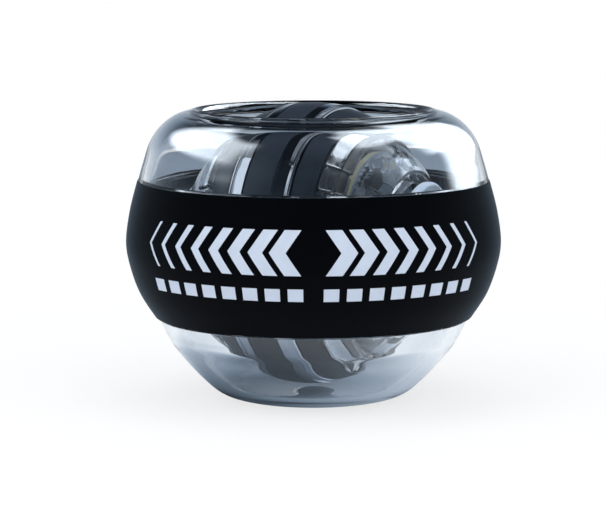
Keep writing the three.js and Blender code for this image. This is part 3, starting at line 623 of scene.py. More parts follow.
# %% [markdown]
# The case is two clear shells that meet under the grip band. The outline follows the photograph's
# silhouette: a narrow flat base, a bowl, the widest line just above the axle and a dome that rolls over
# into the round opening. It is kept as shares of the radius and height, as in the solids, and drawn here
# with fine steps. The inside of a wall is the same line moved inward by the wall's thickness.

# %% Line helpers


def smooth_line(points, steps):
    """A curve through points with even steps, its slope at each point set by the two beside it."""
    line = []
    for k in range(steps + 1):
        t = k / steps * (len(points) - 1)
        i = min(int(t), len(points) - 2)
        w = t - i
        near_four = points[max(i - 1, 0)], points[i], points[i + 1], points[min(i + 2, len(points) - 1)]
        line.append(tuple(
            0.5 * ((2 * b) + (c - a) * w + (2 * a - 5 * b + 4 * c - d) * w ** 2
                   + (3 * b - a - 3 * c + d) * w ** 3)
            for a, b, c, d in zip(*near_four)))
    return line


def offset_line(line, distance):
    """The line moved sideways, to the left of its direction."""
    moved = []
    for k, (radius, height) in enumerate(line):
        r0, h0 = line[max(k - 1, 0)]
        r1, h1 = line[min(k + 1, len(line) - 1)]
        length = math.hypot(r1 - r0, h1 - h0)
        moved.append((radius - distance * (h1 - h0) / length, height + distance * (r1 - r0) / length))
    return moved


def radius_at(line, height):
    """How far out a line that rises is at a height."""
    for (r0, h0), (r1, h1) in zip(line, line[1:]):
        if height <= h1:
            return r0 + (r1 - r0) * (height - h0) / (h1 - h0)
    return line[-1][0]


def line_between(line, low, high):
    """The part of a line between two heights."""
    inside = [point for point in line if low < point[1] < high]
    return [(radius_at(line, low), low), *inside, (radius_at(line, high), high)]


# %% Case outline
LOWER_DOME_SHARES = [(0.371, 0), (0.495, 0.02), (0.6, 0.074),
                     (0.729, 0.167), (0.783, 0.222), (0.829, 0.285)]
UPPER_DOME_SHARES = [(0.933, 0.757), (0.907, 0.815), (0.869, 0.889),
                     (0.809, 0.944), (0.729, 0.981), (0.626, 1)]
GRIP_SHARES = [(0.846, 0.285), (0.929, 0.37), (0.98, 0.463), (1, 0.546),
               (0.98, 0.648), (0.944, 0.741), (0.933, 0.76)]
FINE_STEPS = 40


def case_line(shares):
    """A fine line in metres from shares of the case's radius and height."""
    points = [(radius * CASE_RADIUS, height * RIM_HEIGHT) for radius, height in shares]
    return smooth_line(points, FINE_STEPS)


lower_dome, upper_dome, grip_line = [
    case_line(shares) for shares in (LOWER_DOME_SHARES, UPPER_DOME_SHARES, GRIP_SHARES)]
BAND_BOTTOM, BAND_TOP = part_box("grip_band")[0].z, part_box("grip_band")[1].z
BAND_THICKNESS, SHELL_WALL, SIDE_WALL, FLOOR_THICKNESS = 1.3 * MM, 2.1 * MM, 1.5 * MM, 2.4 * MM
OPENING_RADIUS, LEDGE_RADIUS = 21.3 * MM, 28.8 * MM
LEDGE_NEAR, LEDGE_FAR = 4.9 * MM, 6.6 * MM
grip_seat = offset_line(grip_line, BAND_THICKNESS + SEAT_GAP)
side_inside = offset_line(grip_seat, SIDE_WALL)
print(f"band from {BAND_BOTTOM / MM:.2f} to {BAND_TOP / MM:.2f} mm, seat {len(grip_seat)} points")

# %% [markdown]
# Each shell is one moulding with a recess for the band and a ledge for its race ring. It is turned as a
# solid wall, outside and inside, because clear plastic bends the view at both faces. The upper shell's lip
# is a half round, which gives the opening its bright rim.

# %% Clear shells
STEP_GAP = 0.05 * MM
JOINT_GAP, BAND_CLEARANCE = SEAT_GAP / 2, 2 * SEAT_GAP
LIP_ROUND, LIP_STEPS, LIP_CLEARANCE = SHELL_WALL / 2, 16, 0.1 * MM
LIP_START = OPENING_RADIUS + LIP_ROUND
lower_inside = [p for p in offset_line(lower_dome, SHELL_WALL) if p[1] > FLOOR_THICKNESS]
lower_shell = [
    (0, 0),
    *[p for p in lower_dome if p[1] < BAND_BOTTOM - BAND_CLEARANCE],
    (radius_at(lower_dome, BAND_BOTTOM - SEAT_GAP), BAND_BOTTOM - SEAT_GAP),
    *line_between(grip_seat, BAND_BOTTOM - SEAT_GAP, AXLE_HEIGHT - JOINT_GAP),
    *reversed(line_between(side_inside, AXLE_HEIGHT - LEDGE_NEAR, AXLE_HEIGHT - JOINT_GAP)),
    (LEDGE_RADIUS, AXLE_HEIGHT - LEDGE_NEAR),
    (LEDGE_RADIUS, AXLE_HEIGHT - LEDGE_FAR),
    *reversed(line_between(side_inside, BAND_BOTTOM + SEAT_GAP, AXLE_HEIGHT - LEDGE_FAR)),
    *reversed(lower_inside),
    (0, FLOOR_THICKNESS),
]
turned("clear_lower_shell", lower_shell, CLEAR, "case", "lower_shell", UPRIGHT,
       edge=0.2 * MM, edge_steps=3)
rim_outside = [p for p in upper_dome
               if p[1] > BAND_TOP + BAND_CLEARANCE and p[0] > LIP_START + LIP_CLEARANCE]
rim_inside = [p for p in offset_line(upper_dome, SHELL_WALL) if p[0] > LIP_START and p[1] > BAND_TOP]
lip = [(LIP_START - LIP_ROUND * math.sin(a), RIM_HEIGHT - LIP_ROUND + LIP_ROUND * math.cos(a))
       for a in [math.pi * k / LIP_STEPS for k in range(LIP_STEPS + 1)]]
upper_shell = [
    *line_between(grip_seat, AXLE_HEIGHT + JOINT_GAP, BAND_TOP + STEP_GAP),
    (radius_at(upper_dome, BAND_TOP + STEP_GAP), BAND_TOP + STEP_GAP),
    *rim_outside,
    *lip,
    *reversed(rim_inside),
    *reversed(line_between(side_inside, AXLE_HEIGHT + LEDGE_FAR, BAND_TOP - SEAT_GAP)),
    (LEDGE_RADIUS, AXLE_HEIGHT + LEDGE_FAR),
    (LEDGE_RADIUS, AXLE_HEIGHT + LEDGE_NEAR),
    *reversed(line_between(side_inside, AXLE_HEIGHT + JOINT_GAP, AXLE_HEIGHT + LEDGE_NEAR)),
]
turned("clear_upper_shell", upper_shell, CLEAR, "case", "upper_shell", UPRIGHT,
       edge=0.15 * MM, edge_steps=3)

# %% [markdown]
# The grip band is black silicone stretched over the joint of the shells. Its two edges are rounded, and
# its surface is matte with a very fine grain and a faint sheen. Soft silicone clings to the shells, so it
# is drawn nearly touching them.

# %% Grip band
EDGE_ROUND = 0.45 * MM
BAND_CLING = SEAT_GAP - 0.03 * MM
band_outside = line_between(grip_line, BAND_BOTTOM, BAND_TOP)
band_inside = line_between(offset_line(grip_line, BAND_THICKNESS + BAND_CLING), BAND_BOTTOM, BAND_TOP)
band = [*band_outside, *reversed(band_inside)]
turned("silicone_grip_band", band, SILICONE, "case", "grip_band", UPRIGHT, edge=EDGE_ROUND, edge_steps=4)

# %% [markdown]
# The print is generic: two rows of chevrons that point out from the middle and thin out to the sides, and
# a row of squares under each. Real print is a film of ink, so each mark is a patch of faces bent onto
# the band and lifted off it by a hair, in small steps so that it follows the curve both ways.

# %% Print helpers
PRINT_LIFT = 0.04 * MM
PRINT_STEP, PRINT_RISE = math.radians(1.0), 0.7 * MM


def print_patch(bm, corners):
    """A four-cornered patch of print; corners are (angle round the case, height), bent onto the band."""
    (a0, h0), (a1, h1), (a2, h2), (a3, h3) = corners
    across = max(2, math.ceil(abs(a1 - a0) / PRINT_STEP))
    up = max(2, math.ceil(abs(h3 - h0) / PRINT_RISE))
    grid = []
    for j in range(up + 1):
        v = j / up
        row = []
        for i in range(across + 1):
            u = i / across
            angle = (1 - v) * ((1 - u) * a0 + u * a1) + v * ((1 - u) * a3 + u * a2)
            height = (1 - v) * ((1 - u) * h0 + u * h1) + v * ((1 - u) * h3 + u * h2)
            radius = radius_at(grip_line, height) + PRINT_LIFT
            side = VIEW_SIDE + angle
            row.append(bm.verts.new((radius * math.sin(side), -radius * math.cos(side), height)))
        grid.append(row)
    for low, high in zip(grid, grid[1:]):
        for i in range(across):
            bm.faces.new((low[i], low[i + 1], high[i + 1], high[i]))


def print_bar(bm, side, start, width, low, high, lean_low=0, lean_high=0):
    """A bar of print that leans at one end, to the right for side 1 and mirrored for side -1."""
    corners = [(side * (start - lean_low), low), (side * (start + width - lean_low), low),
               (side * (start + width - lean_high), high), (side * (start - lean_high), high)]
    if side < 0:
        corners = [corners[1], corners[0], corners[3], corners[2]]
    print_patch(bm, corners)


# %% Print on the band
CHEVRON_LOW, CHEVRON_HIGH = 27.4 * MM, 35.4 * MM
SQUARE_LOW, SQUARE_HIGH = 22.7 * MM, 25 * MM
MARK_COUNT, MARK_PITCH = 8, math.radians(6.9)
CHEVRON_FIRST, CHEVRON_WIDTH, CHEVRON_LEAN = math.radians(8), math.radians(4.9), math.radians(4.5)
SQUARE_FIRST, SQUARE_WIDTH = math.radians(3), math.radians(4.6)
print_mesh = bmesh.new()
chevron_middle = (CHEVRON_LOW + CHEVRON_HIGH) / 2
for side in (-1, 1):
    for k in range(MARK_COUNT):
        start = CHEVRON_FIRST + k * MARK_PITCH
        width = CHEVRON_WIDTH * (1 - k / (MARK_COUNT + 1))
        print_bar(print_mesh, side, start, width, CHEVRON_LOW, chevron_middle, lean_low=CHEVRON_LEAN)
        print_bar(print_mesh, side, start, width, chevron_middle, CHEVRON_HIGH, lean_high=CHEVRON_LEAN)
    for k in range(MARK_COUNT):
        print_bar(print_mesh, side, SQUARE_FIRST + k * MARK_PITCH, SQUARE_WIDTH, SQUARE_LOW, SQUARE_HIGH)
bmesh.ops.remove_doubles(print_mesh, verts=print_mesh.verts, dist=0.001 * MM)
mesh_piece("grip_band_print", print_mesh, PRINT_WHITE, "case")

# %% [markdown]
# Two black race rings sit on ledges of the shells and leave a groove between them. The steel carrier ring
# turns in that groove. They are seen through the opening and, bent by the dome, above the grip band.

# %% Race rings
RACE_INNER, RACE_LIP, GROOVE_HALF = 27.6 * MM, 30.6 * MM, 1.4 * MM
RACE_FAR, RACE_CHAMFER, RACE_SHOULDER = 4.6 * MM, 1 * MM, 1.15 * MM
race_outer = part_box("race_ring_lower")[1].x
race = [(RACE_INNER, AXLE_HEIGHT - GROOVE_HALF), (RACE_INNER, AXLE_HEIGHT - RACE_FAR),
        (race_outer - RACE_CHAMFER, AXLE_HEIGHT - RACE_FAR), (race_outer, AXLE_HEIGHT - RACE_SHOULDER),
        (race_outer, AXLE_HEIGHT - JOINT_GAP), (RACE_LIP, AXLE_HEIGHT - JOINT_GAP),
        (RACE_LIP, AXLE_HEIGHT - GROOVE_HALF)]
turned_over = [(radius, 2 * AXLE_HEIGHT - height) for radius, height in race]
for place_in_case, outline in (("lower", race), ("upper", turned_over)):
    turned(f"{place_in_case}_race", outline, BLACK_PLASTIC, "case", f"race_ring_{place_in_case}", UPRIGHT,
           edge=0.2 * MM)

# %% [markdown]
# The carrier ring is stamped from sheet steel: a flat ring with two pads, each with a slot that the axle
# lies in. Its outline is filled and raised to the sheet's thickness. Stamping leaves a slightly rounded
# edge, so the bevel is small.

# %% Carrier ring
PAD_INNER, PAD_HALF, SLOT_HALF, SLOT_END = 24.7 * MM, 6 * MM, 1.6 * MM, 29.6 * MM
CARRIER_INNER, CARRIER_HALF_THICK = 26.6 * MM, 1 * MM
HOLE_STEPS, RIM_STEPS = 60, 160
carrier_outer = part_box("carrier_ring")[1].y


def ring_arc(radius, start, end, steps):
    """Points on an arc, seen from above."""
    angles = [start + (end - start) * k / steps for k in range(steps + 1)]
    return [(radius * math.cos(a), radius * math.sin(a)) for a in angles]


pad_angle = math.asin(PAD_HALF / CARRIER_INNER)
pad = [(PAD_INNER, -PAD_HALF), (PAD_INNER, -SLOT_HALF), (SLOT_END, -SLOT_HALF),
       (SLOT_END, SLOT_HALF), (PAD_INNER, SLOT_HALF), (PAD_INNER, PAD_HALF)]
carrier_hole = [*pad, *ring_arc(CARRIER_INNER, pad_angle, math.pi - pad_angle, HOLE_STEPS),
                *[(-x, -y) for x, y in pad],
                *ring_arc(CARRIER_INNER, math.pi + pad_angle, math.tau - pad_angle, HOLE_STEPS)]
carrier_rim = ring_arc(carrier_outer, 0, math.tau, RIM_STEPS)[:-1]
stamping = bmesh.new()
loops = []
for outline in (carrier_rim, carrier_hole):
    corners = [stamping.verts.new((x, y, AXLE_HEIGHT - CARRIER_HALF_THICK)) for x, y in outline]
    loops += [stamping.edges.new(pair) for pair in zip(corners, corners[1:] + corners[:1])]
bmesh.ops.triangle_fill(stamping, use_beauty=True, use_dissolve=False, edges=loops)
raised = bmesh.ops.extrude_face_region(stamping, geom=stamping.faces[:])["geom"]
bmesh.ops.translate(stamping, vec=(0, 0, 2 * CARRIER_HALF_THICK),
                    verts=[v for v in raised if isinstance(v, bmesh.types.BMVert)])
mesh_piece("stamped_carrier_ring", stamping, STEEL, "carrier", "carrier_ring", edge=0.15 * MM)

# %% [markdown]
# The rotor is a stack on the axle: dark side bands that belong to the core halves, plated flywheel rings
# with a groove and a bead, and a satin band in the middle. The sides follow one sphere, so their outlines
# are arcs of it.

# %% Sphere helpers


def sphere_radius(along, radius=ROTOR_RADIUS):
    """How far a sphere reaches from the axle at a distance along it."""
    return math.sqrt(radius ** 2 - along ** 2)


def sphere_arc(start, end, radius=ROTOR_RADIUS, steps=12):
    """The outline of a sphere between two distances along the axle."""
    low, high = math.asin(start / radius), math.asin(end / radius)
    angles = [low + (high - low) * k / steps for k in range(steps + 1)]
    return [(radius * math.cos(a), radius * math.sin(a)) for a in angles]


# %% Middle band and flywheels
FLYWHEEL_INNER = 19.3 * MM
GROOVE_DEPTH, BEAD_STEPS = 0.6 * MM, 10
band_start, band_end = ends_along_axle("rotor_centre_band")
middle_band = [(FLYWHEEL_INNER, band_start), *sphere_arc(band_start, band_end), (FLYWHEEL_INNER, band_end)]
turned("rotor_middle_band", middle_band, SATIN_BAND, "rotor", "rotor_centre_band",
       edge=0.18 * MM, edge_steps=3)
fly_start, fly_end = ends_along_axle("flywheel_ring_right")
GROOVE_START, BEAD_START = fly_start + 1.6 * MM, fly_start + 2.25 * MM
groove_floor = sphere_radius(GROOVE_START) - GROOVE_DEPTH
bead_radius = (fly_end - BEAD_START) / 2
bead_middle, bead_base = (fly_end + BEAD_START) / 2, sphere_radius(fly_end) - bead_radius
bead = [(bead_base + bead_radius * math.sin(a), bead_middle - bead_radius * math.cos(a))
        for a in [math.pi * k / BEAD_STEPS for k in range(BEAD_STEPS + 1)]]
flywheel = [(FLYWHEEL_INNER, fly_start), *sphere_arc(fly_start, GROOVE_START, steps=4),
            (groove_floor, GROOVE_START), (groove_floor, BEAD_START), *bead, (FLYWHEEL_INNER, fly_end)]
for side, outline in (("right", flywheel), ("left", mirrored(flywheel))):
    turned(f"flywheel_{side}", outline, CHROME, "rotor", f"flywheel_ring_{side}", sides=180, edge=0.1 * MM)

# %% [markdown]
# The two core halves are dark mouldings: a hub on the axle, a thin web and a rim that carries the
# flywheels. The left hub is wider and hollow, because the clutch sits in it. A black retaining ring lies
# on each side.

# %% Core halves
CORE_SPHERE = ROTOR_RADIUS - SEAT_GAP
SIDE_START, SIDE_END, WEB = 6.2 * MM, 10 * MM, 3.8 * MM
RIM_INNER, HUB_RADIUS, BORE = 17.2 * MM, 5.2 * MM, 1.9 * MM
CUP_OUTER, LEFT_HUB = 5.8 * MM, 7.6 * MM
CLUTCH_START, CLUTCH_END = 6.1 * MM, 11.4 * MM
CLAMP_INNER, CLAMP_OUTER = 17.8 * MM, 20.3 * MM
FACE = SEAT_GAP / 2
core_rim = [(FLYWHEEL_INNER - SEAT_GAP, FACE), (FLYWHEEL_INNER - SEAT_GAP, SIDE_START),
            *sphere_arc(SIDE_START, SIDE_END, CORE_SPHERE), (RIM_INNER, SIDE_END), (RIM_INNER, WEB)]
hub_end = ends_along_axle("rotor_core_right")[1]
right_core = [(BORE, FACE), *core_rim, (HUB_RADIUS, WEB), (HUB_RADIUS, hub_end), (BORE, hub_end)]
left_core = [(BORE, FACE), *core_rim, (LEFT_HUB, WEB), (LEFT_HUB, CLUTCH_END),
             (CUP_OUTER + SEAT_GAP, CLUTCH_END), (CUP_OUTER + SEAT_GAP, CLUTCH_START), (BORE, CLUTCH_START)]
for side, outline in (("right", right_core), ("left", mirrored(left_core))):
    turned(f"core_{side}", outline, SATIN_BAND, "rotor", f"rotor_core_{side}", edge=0.2 * MM)
for side, turn in (("right", 1), ("left", -1)):
    ring_start, ring_end = sorted(abs(x) for x in ends_along_axle(f"retaining_ring_{side}"))
    ring = tube(CLAMP_INNER, CLAMP_OUTER, turn * ring_start, turn * ring_end)
    turned(f"board_clamp_{side}", ring, BLACK_PLASTIC, "rotor", f"retaining_ring_{side}", edge=0.2 * MM)

# %% [markdown]
# The clear caps are one moulding each: a foot, a thin dome, a ring of windows that reaches the rotor's
# sphere, and ribs inside, one in front of each lamp. They are joined by a boolean, because overlapping
# clear meshes would show false inner walls. Every window has softly rounded edges, which catch the light.

# %% Cap helpers


def swept_block(bm, outline, start, end, placing, steps):
    """Adds an outline of (radius, along) swept between two angles, which count from straight up."""
    rows = []
    for k in range(steps + 1):
        angle = start + (end - start) * k / steps
        spots = [Vector((along, radius * math.sin(angle), radius * math.cos(angle)))
                 for radius, along in outline]
        rows.append([bm.verts.new(placing @ spot) for spot in spots])
    for row, after in zip(rows, rows[1:]):
        for i in range(len(outline)):
            j = (i + 1) % len(outline)
            bm.faces.new((row[i], row[j], after[j], after[i]))
    bm.faces.new(rows[0])
    bm.faces.new(rows[-1])


def join_with(piece, other):
    """Makes a piece one body with another, which is used up."""
    union = piece.modifiers.new("joined", "BOOLEAN")
    union.operation, union.solver, union.object = "UNION", "EXACT", other
    bpy.context.view_layer.update()
    whole = bpy.data.meshes.new_from_object(piece.evaluated_get(bpy.context.evaluated_depsgraph_get()))
    piece.modifiers.clear()
    spare, piece.data = piece.data, whole
    used_mesh = other.data
    bpy.data.objects.remove(other)
    for mesh in (spare, used_mesh):
        bpy.data.meshes.remove(mesh)
    bm = bmesh.new()
    bm.from_mesh(whole)
    mark_sharp(bm)
    bm.to_mesh(whole)
    bm.free()
    print(f"{piece.name}: {len(whole.polygons)} faces once joined")


# %% Clear caps
CAP_DOME, CAP_WALL = CORE_SPHERE - 0.9 * MM, 1.3 * MM
CAP_OPENING, CAP_FOOT, FOOT_HEIGHT = 11.8 * MM, 20.65 * MM, 1.8 * MM
WINDOW_WIDTH, WINDOW_LENGTH, WINDOW_GAP, WINDOW_ROUND = 4.2 * MM, 4.9 * MM, 0.9 * MM, 0.28 * MM
RIB_START, RIB_END, RIB_DEPTH, RIB_LENGTH = 16.2 * MM, 18.7 * MM, 1.3 * MM, 4.4 * MM
SHORT_STEPS, LONG_STEPS, RIB_STEPS = 6, 20, 4
CLOCKING, LAMP_COUNT = 0.64, 6
LAMP_ANGLES = [math.tau * (k + 0.5) / LAMP_COUNT + CLOCKING for k in range(LAMP_COUNT)]
for side in ("right", "left"):
    cap_start, cap_end = sorted(abs(x) for x in ends_along_axle(f"cap_{side}"))
    cap_inside = sphere_arc(cap_start + FOOT_HEIGHT, cap_end - CAP_WALL, CAP_DOME - CAP_WALL, LONG_STEPS)
    cap_outline = [(CAP_FOOT, cap_start), *sphere_arc(cap_start, cap_end, CAP_DOME, LONG_STEPS),
                   (CAP_OPENING, cap_end), (CAP_OPENING, cap_end - CAP_WALL), *reversed(cap_inside),
                   (CAP_FOOT, cap_start + FOOT_HEIGHT)]
    turn = UPRIGHT if side == "right" else Matrix.Rotation(math.pi, 4, "Z")
    dome = turned(f"clear_cap_{side}", cap_outline, CLEAR_CAP, "rotor", f"cap_{side}", turn @ ON_AXLE)
    placing = turn @ Matrix.Translation((0, 0, AXLE_HEIGHT))
    in_wall = CAP_DOME - CAP_WALL / 2
    window_end = cap_start + WINDOW_WIDTH
    window = [(sphere_radius(cap_start, in_wall), cap_start),
              *sphere_arc(cap_start, window_end, CORE_SPHERE, SHORT_STEPS),
              (sphere_radius(window_end, in_wall), window_end)]
    rib = [*sphere_arc(RIB_START, RIB_END, in_wall, RIB_STEPS),
           *reversed(sphere_arc(RIB_START, RIB_END, CAP_DOME - CAP_WALL - RIB_DEPTH, RIB_STEPS))]
    half, gap = WINDOW_LENGTH / 2 / CORE_SPHERE, WINDOW_GAP / CORE_SPHERE
    rib_half = RIB_LENGTH / 2 / sphere_radius(RIB_END, in_wall)
    details = bmesh.new()
    for angle in LAMP_ANGLES:
        swept_block(details, window, angle - half, angle + half, placing, SHORT_STEPS)
        between_end = angle + math.tau / LAMP_COUNT - half - gap
        swept_block(details, window, angle + half + gap, between_end, placing, LONG_STEPS)
        swept_block(details, rib, angle - rib_half, angle + rib_half, placing, SHORT_STEPS)
    bmesh.ops.recalc_face_normals(details, faces=details.faces)
    corners = [line for line in details.edges if line.calc_face_angle() > SHARP_ANGLE]
    bmesh.ops.bevel(details, geom=corners, offset=WINDOW_ROUND, segments=3, affect="EDGES", profile=0.5)
    join_with(dome, as_object("cap_details", details))

# %% [markdown]
# The light board is a disc with a bare yellowish edge, small parts with bright pins and six lamps. It sits
# behind the right cap and is the liveliest detail in the photograph, so it gets real geometry. The disc
# has two thin solder tracks, drawn as flat rings sunk a little into it.

# %% Light board
board_start, board_end = ends_along_axle("led_board")
BOARD_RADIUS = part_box("led_board")[1].y
TRACK_WIDTH, TRACK_SUNK, TRACK_HIGH = 0.25 * MM, 0.02 * MM, 0.05 * MM
BOARD_SIDES, RIM_FACING = 160, 0.5
disc = tube(HUB_RADIUS + SEAT_GAP, BOARD_RADIUS, board_start, board_end)
board = turned("led_board_disc", disc, BOARD, "rotor", "led_board", sides=BOARD_SIDES)
board.data.materials.append(BOARD_EDGE)
for face in board.data.polygons:
    if abs(face.normal.x) < RIM_FACING:
        face.material_index = 1
for name, radius in (("outer_track", 16.8 * MM), ("inner_track", 11.4 * MM)):
    track = tube(radius - TRACK_WIDTH, radius, board_end - TRACK_SUNK, board_end + TRACK_HIGH)
    turned(name, track, SOLDER, "rotor", sides=BOARD_SIDES)

# %% [markdown]
# Chips and lamps are blocks with softened edges that lie on the board. Each has two rows of pins, and
# every pin is bent: a shelf out of the body, a riser and a foot. The lamps are clear resin over a small
# bright die.

# %% Board helpers
PART_LIFT, PIN_SUNK, PIN_FOOT = 0.05 * MM, 0.02 * MM, 0.2 * MM
PIN_KNEE, PIN_REACH, PIN_THICK = 0.3 * MM, 0.75 * MM, 0.14 * MM
PIN_LOW_SHARE, PIN_HIGH_SHARE, PIN_HALF_SHARE = 0.45, 0.6, 0.26


def on_board(angle, radius):
    """Places a part on the board, at an angle and a radius round the axle; its X runs along the axle."""
    spin = Matrix.Rotation(-angle, 4, "X")
    return Matrix.Translation((0, 0, AXLE_HEIGHT)) @ spin @ Matrix.Translation((board_end, 0, radius))


def add_block(bm, low, high, placing):
    """Adds a block given by its lowest and highest corner."""
    made = bmesh.ops.create_cube(bm, size=1)["verts"]
    size = Vector(high) - Vector(low)
    middle = (Vector(high) + Vector(low)) / 2
    matrix = placing @ Matrix.Translation(middle) @ Matrix.Diagonal((*size, 1))
    bmesh.ops.transform(bm, matrix=matrix, verts=made)


def board_part(name, node, size, placing, material, edge=0.15 * MM):
    """The body of a chip or a lamp."""
    length, width, height = size
    bm = bmesh.new()
    add_block(bm, (PART_LIFT, -length / 2, -width / 2), (height, length / 2, width / 2), placing)
    mesh_piece(name, bm, material, "rotor", node, edge=edge, edge_steps=3)


def pins(name, size, count, placing):
    """Two rows of bent pins beside a body, each a shelf, a riser and a small foot."""
    length, width, height = size
    bm = bmesh.new()
    pitch = length / count
    shelf_low, shelf_high, half = height * PIN_LOW_SHARE, height * PIN_HIGH_SHARE, pitch * PIN_HALF_SHARE
    for row in (-1, 1):
        near, knee, far = [row * (width / 2 + reach) for reach in (0, PIN_KNEE, PIN_REACH)]
        for k in range(count):
            y = -length / 2 + (k + 0.5) * pitch
            for low, high, inner, outer in (
                    (shelf_low, shelf_high, near, knee),
                    (PIN_SUNK, shelf_high, knee, knee - row * PIN_THICK),
                    (PIN_SUNK, PIN_FOOT, knee, far)):
                inner, outer = sorted((inner, outer))
                add_block(bm, (low, y - half, inner), (high, y + half, outer), placing)
    mesh_piece(name, bm, SOLDER, "rotor", edge=0.04 * MM)


# %% Chips
CHIP_PATH, THIRD = 13 * MM, math.tau / 3
CAPACITOR_ANGLE, RECTIFIER_ANGLE, CHIP_ANGLE = [CLOCKING + math.pi / 3 + THIRD * k for k in range(3)]
for name, node, size, count, angle in (
        ("chip", "control_chip", (5 * MM, 3.4 * MM, 1.4 * MM), 4, CHIP_ANGLE),
        ("rectifier", "rectifier", (4 * MM, 2.4 * MM, 1.4 * MM), 3, RECTIFIER_ANGLE)):
    board_part(f"{name}_body", node, size, on_board(angle, CHIP_PATH), CHIP)
    pins(f"{name}_pins", size, count, on_board(angle, CHIP_PATH))

# %% Lamps on the board
LAMP_PATH = 14.6 * MM
LAMP_LENGTH, LAMP_WIDTH, LAMP_HEIGHT, LAMP_PIN_HEIGHT = 4.6 * MM, 3.2 * MM, 2 * MM, 1 * MM
DIE_HALF, DIE_LOW, DIE_HIGH = 0.8 * MM, 0.3 * MM, 0.7 * MM
for k, angle in enumerate(LAMP_ANGLES, 1):
    placing = on_board(angle, LAMP_PATH)
    lamp_size = (LAMP_LENGTH, LAMP_WIDTH, LAMP_HEIGHT)
    board_part(f"lamp_{k}", f"led_{k}", lamp_size, placing, LAMP, edge=0.35 * MM)
    pins(f"lamp_pins_{k}", (LAMP_LENGTH, LAMP_WIDTH, LAMP_PIN_HEIGHT), 4, placing)
    die = bmesh.new()
    add_block(die, (DIE_LOW, -DIE_HALF, -DIE_HALF), (DIE_HIGH, DIE_HALF, DIE_HALF), placing)
    mesh_piece(f"lamp_die_{k}", die, LAMP_DIE, "rotor", edge=0.05 * MM)

# %% [markdown]
# The capacitor is a bright can with a crimped groove, turned about its own axis, which stands on the
# board. Two groups of four small resistors near the board's edge are dark blocks with a bright cap at
# either end.

# %% Capacitor and resistors
can = [(radius * MM, height * MM) for radius, height in (
    (0, 0), (1.9, 0), (1.9, 0.4), (1.78, 0.55), (1.9, 0.7), (1.9, 2.2), (1.7, 2.4), (0, 2.4))]
can_placing = on_board(CAPACITOR_ANGLE, CHIP_PATH) @ Matrix.Rotation(math.pi / 2, 4, "Y")
turned("capacitor_can", can, SOLDER, "rotor", "capacitor", can_placing, slot="brass", sides=40)
RESISTOR_PATH, RESISTOR_COUNT, IN_GROUP = 15.95 * MM, 8, 4
RESISTOR_FIRST, RESISTOR_PITCH = -16.5, 4.7
BODY_LOW, BODY_HIGH, BODY_WIDE, BODY_LONG = 0.02 * MM, 0.45 * MM, 0.35 * MM, 0.5 * MM
TIN_LOW, TIN_HIGH, TIN_WIDE, TIN_FROM, TIN_TO = 0.01 * MM, 0.47 * MM, 0.36 * MM, 0.48 * MM, 0.75 * MM
resistors, resistor_ends = bmesh.new(), bmesh.new()
for k in range(RESISTOR_COUNT):
    step = math.radians(RESISTOR_FIRST + RESISTOR_PITCH * k)
    placing = on_board(CHIP_ANGLE + step + THIRD * (k // IN_GROUP), RESISTOR_PATH)
    add_block(resistors, (BODY_LOW, -BODY_WIDE, -BODY_LONG), (BODY_HIGH, BODY_WIDE, BODY_LONG), placing)
    for low, high in ((-TIN_TO, -TIN_FROM), (TIN_FROM, TIN_TO)):
        add_block(resistor_ends, (TIN_LOW, -TIN_WIDE, low), (TIN_HIGH, TIN_WIDE, high), placing)
mesh_piece("resistors", resistors, CHIP, "rotor", edge=0.04 * MM)
mesh_piece("resistor_ends", resistor_ends, SOLDER, "rotor", edge=0.04 * MM)

# %% [markdown]
# The generator that feeds the lamps is a wound coil on the rotor and a ring magnet that stands still on
# the carrier. The winding is drawn wire by wire in its outline, so that it glints in lines as enamelled
# copper does.

# %% Coil and magnet
BOBBIN_RADIUS, SPOOL_RADIUS, FLANGE = 9.4 * MM, 6.3 * MM, 0.7 * MM
WINDING_INNER, WINDING_OUTER = 6.6 * MM, 9.1 * MM
MAGNET_INNER, MAGNET_OUTER = 4.9 * MM, 9.6 * MM
WIRE_COUNT, WIRE_STEPS = 5, 6
bobbin_start, bobbin_end = ends_along_axle("coil_bobbin")
bobbin = [(HUB_RADIUS + SEAT_GAP, bobbin_start), (BOBBIN_RADIUS, bobbin_start),
          (BOBBIN_RADIUS, bobbin_start + FLANGE), (SPOOL_RADIUS, bobbin_start + FLANGE),
          (SPOOL_RADIUS, bobbin_end - FLANGE), (BOBBIN_RADIUS, bobbin_end - FLANGE),
          (BOBBIN_RADIUS, bobbin_end), (HUB_RADIUS + SEAT_GAP, bobbin_end)]
turned("coil_spool", bobbin, BLACK_PLASTIC, "rotor", "coil_bobbin", sides=96, edge=0.12 * MM)
wire_start, wire_end = ends_along_axle("copper_winding")
wire_radius = (wire_end - wire_start) / WIRE_COUNT / 2
winding = [(WINDING_INNER, wire_start)]
for k in range(WIRE_COUNT):
    for j in range(0 if k == 0 else 1, WIRE_STEPS + 1):
        angle = math.pi * j / WIRE_STEPS
        winding.append((WINDING_OUTER - wire_radius + wire_radius * math.sin(angle),
                        wire_start + wire_radius * (2 * k + 1 - math.cos(angle))))
winding.append((WINDING_INNER, wire_end))
turned("wound_wire", winding, COPPER, "rotor", "copper_winding", sides=96)
magnet = tube(MAGNET_INNER, MAGNET_OUTER, *ends_along_axle("generator_magnet"))
turned("magnet_ring", magnet, MAGNET, "carrier", "generator_magnet", sides=96, edge=0.2 * MM)

# %% [markdown]
# Both holders are grey mouldings that slide over the pads of the carrier ring with a fork. The right one
# is a disc that carries the magnet, and its chamfer shows as a light rim. The left one is the drum of the
# start spring. The prongs pass above and below the axle, so a way for it is hollowed out of them.

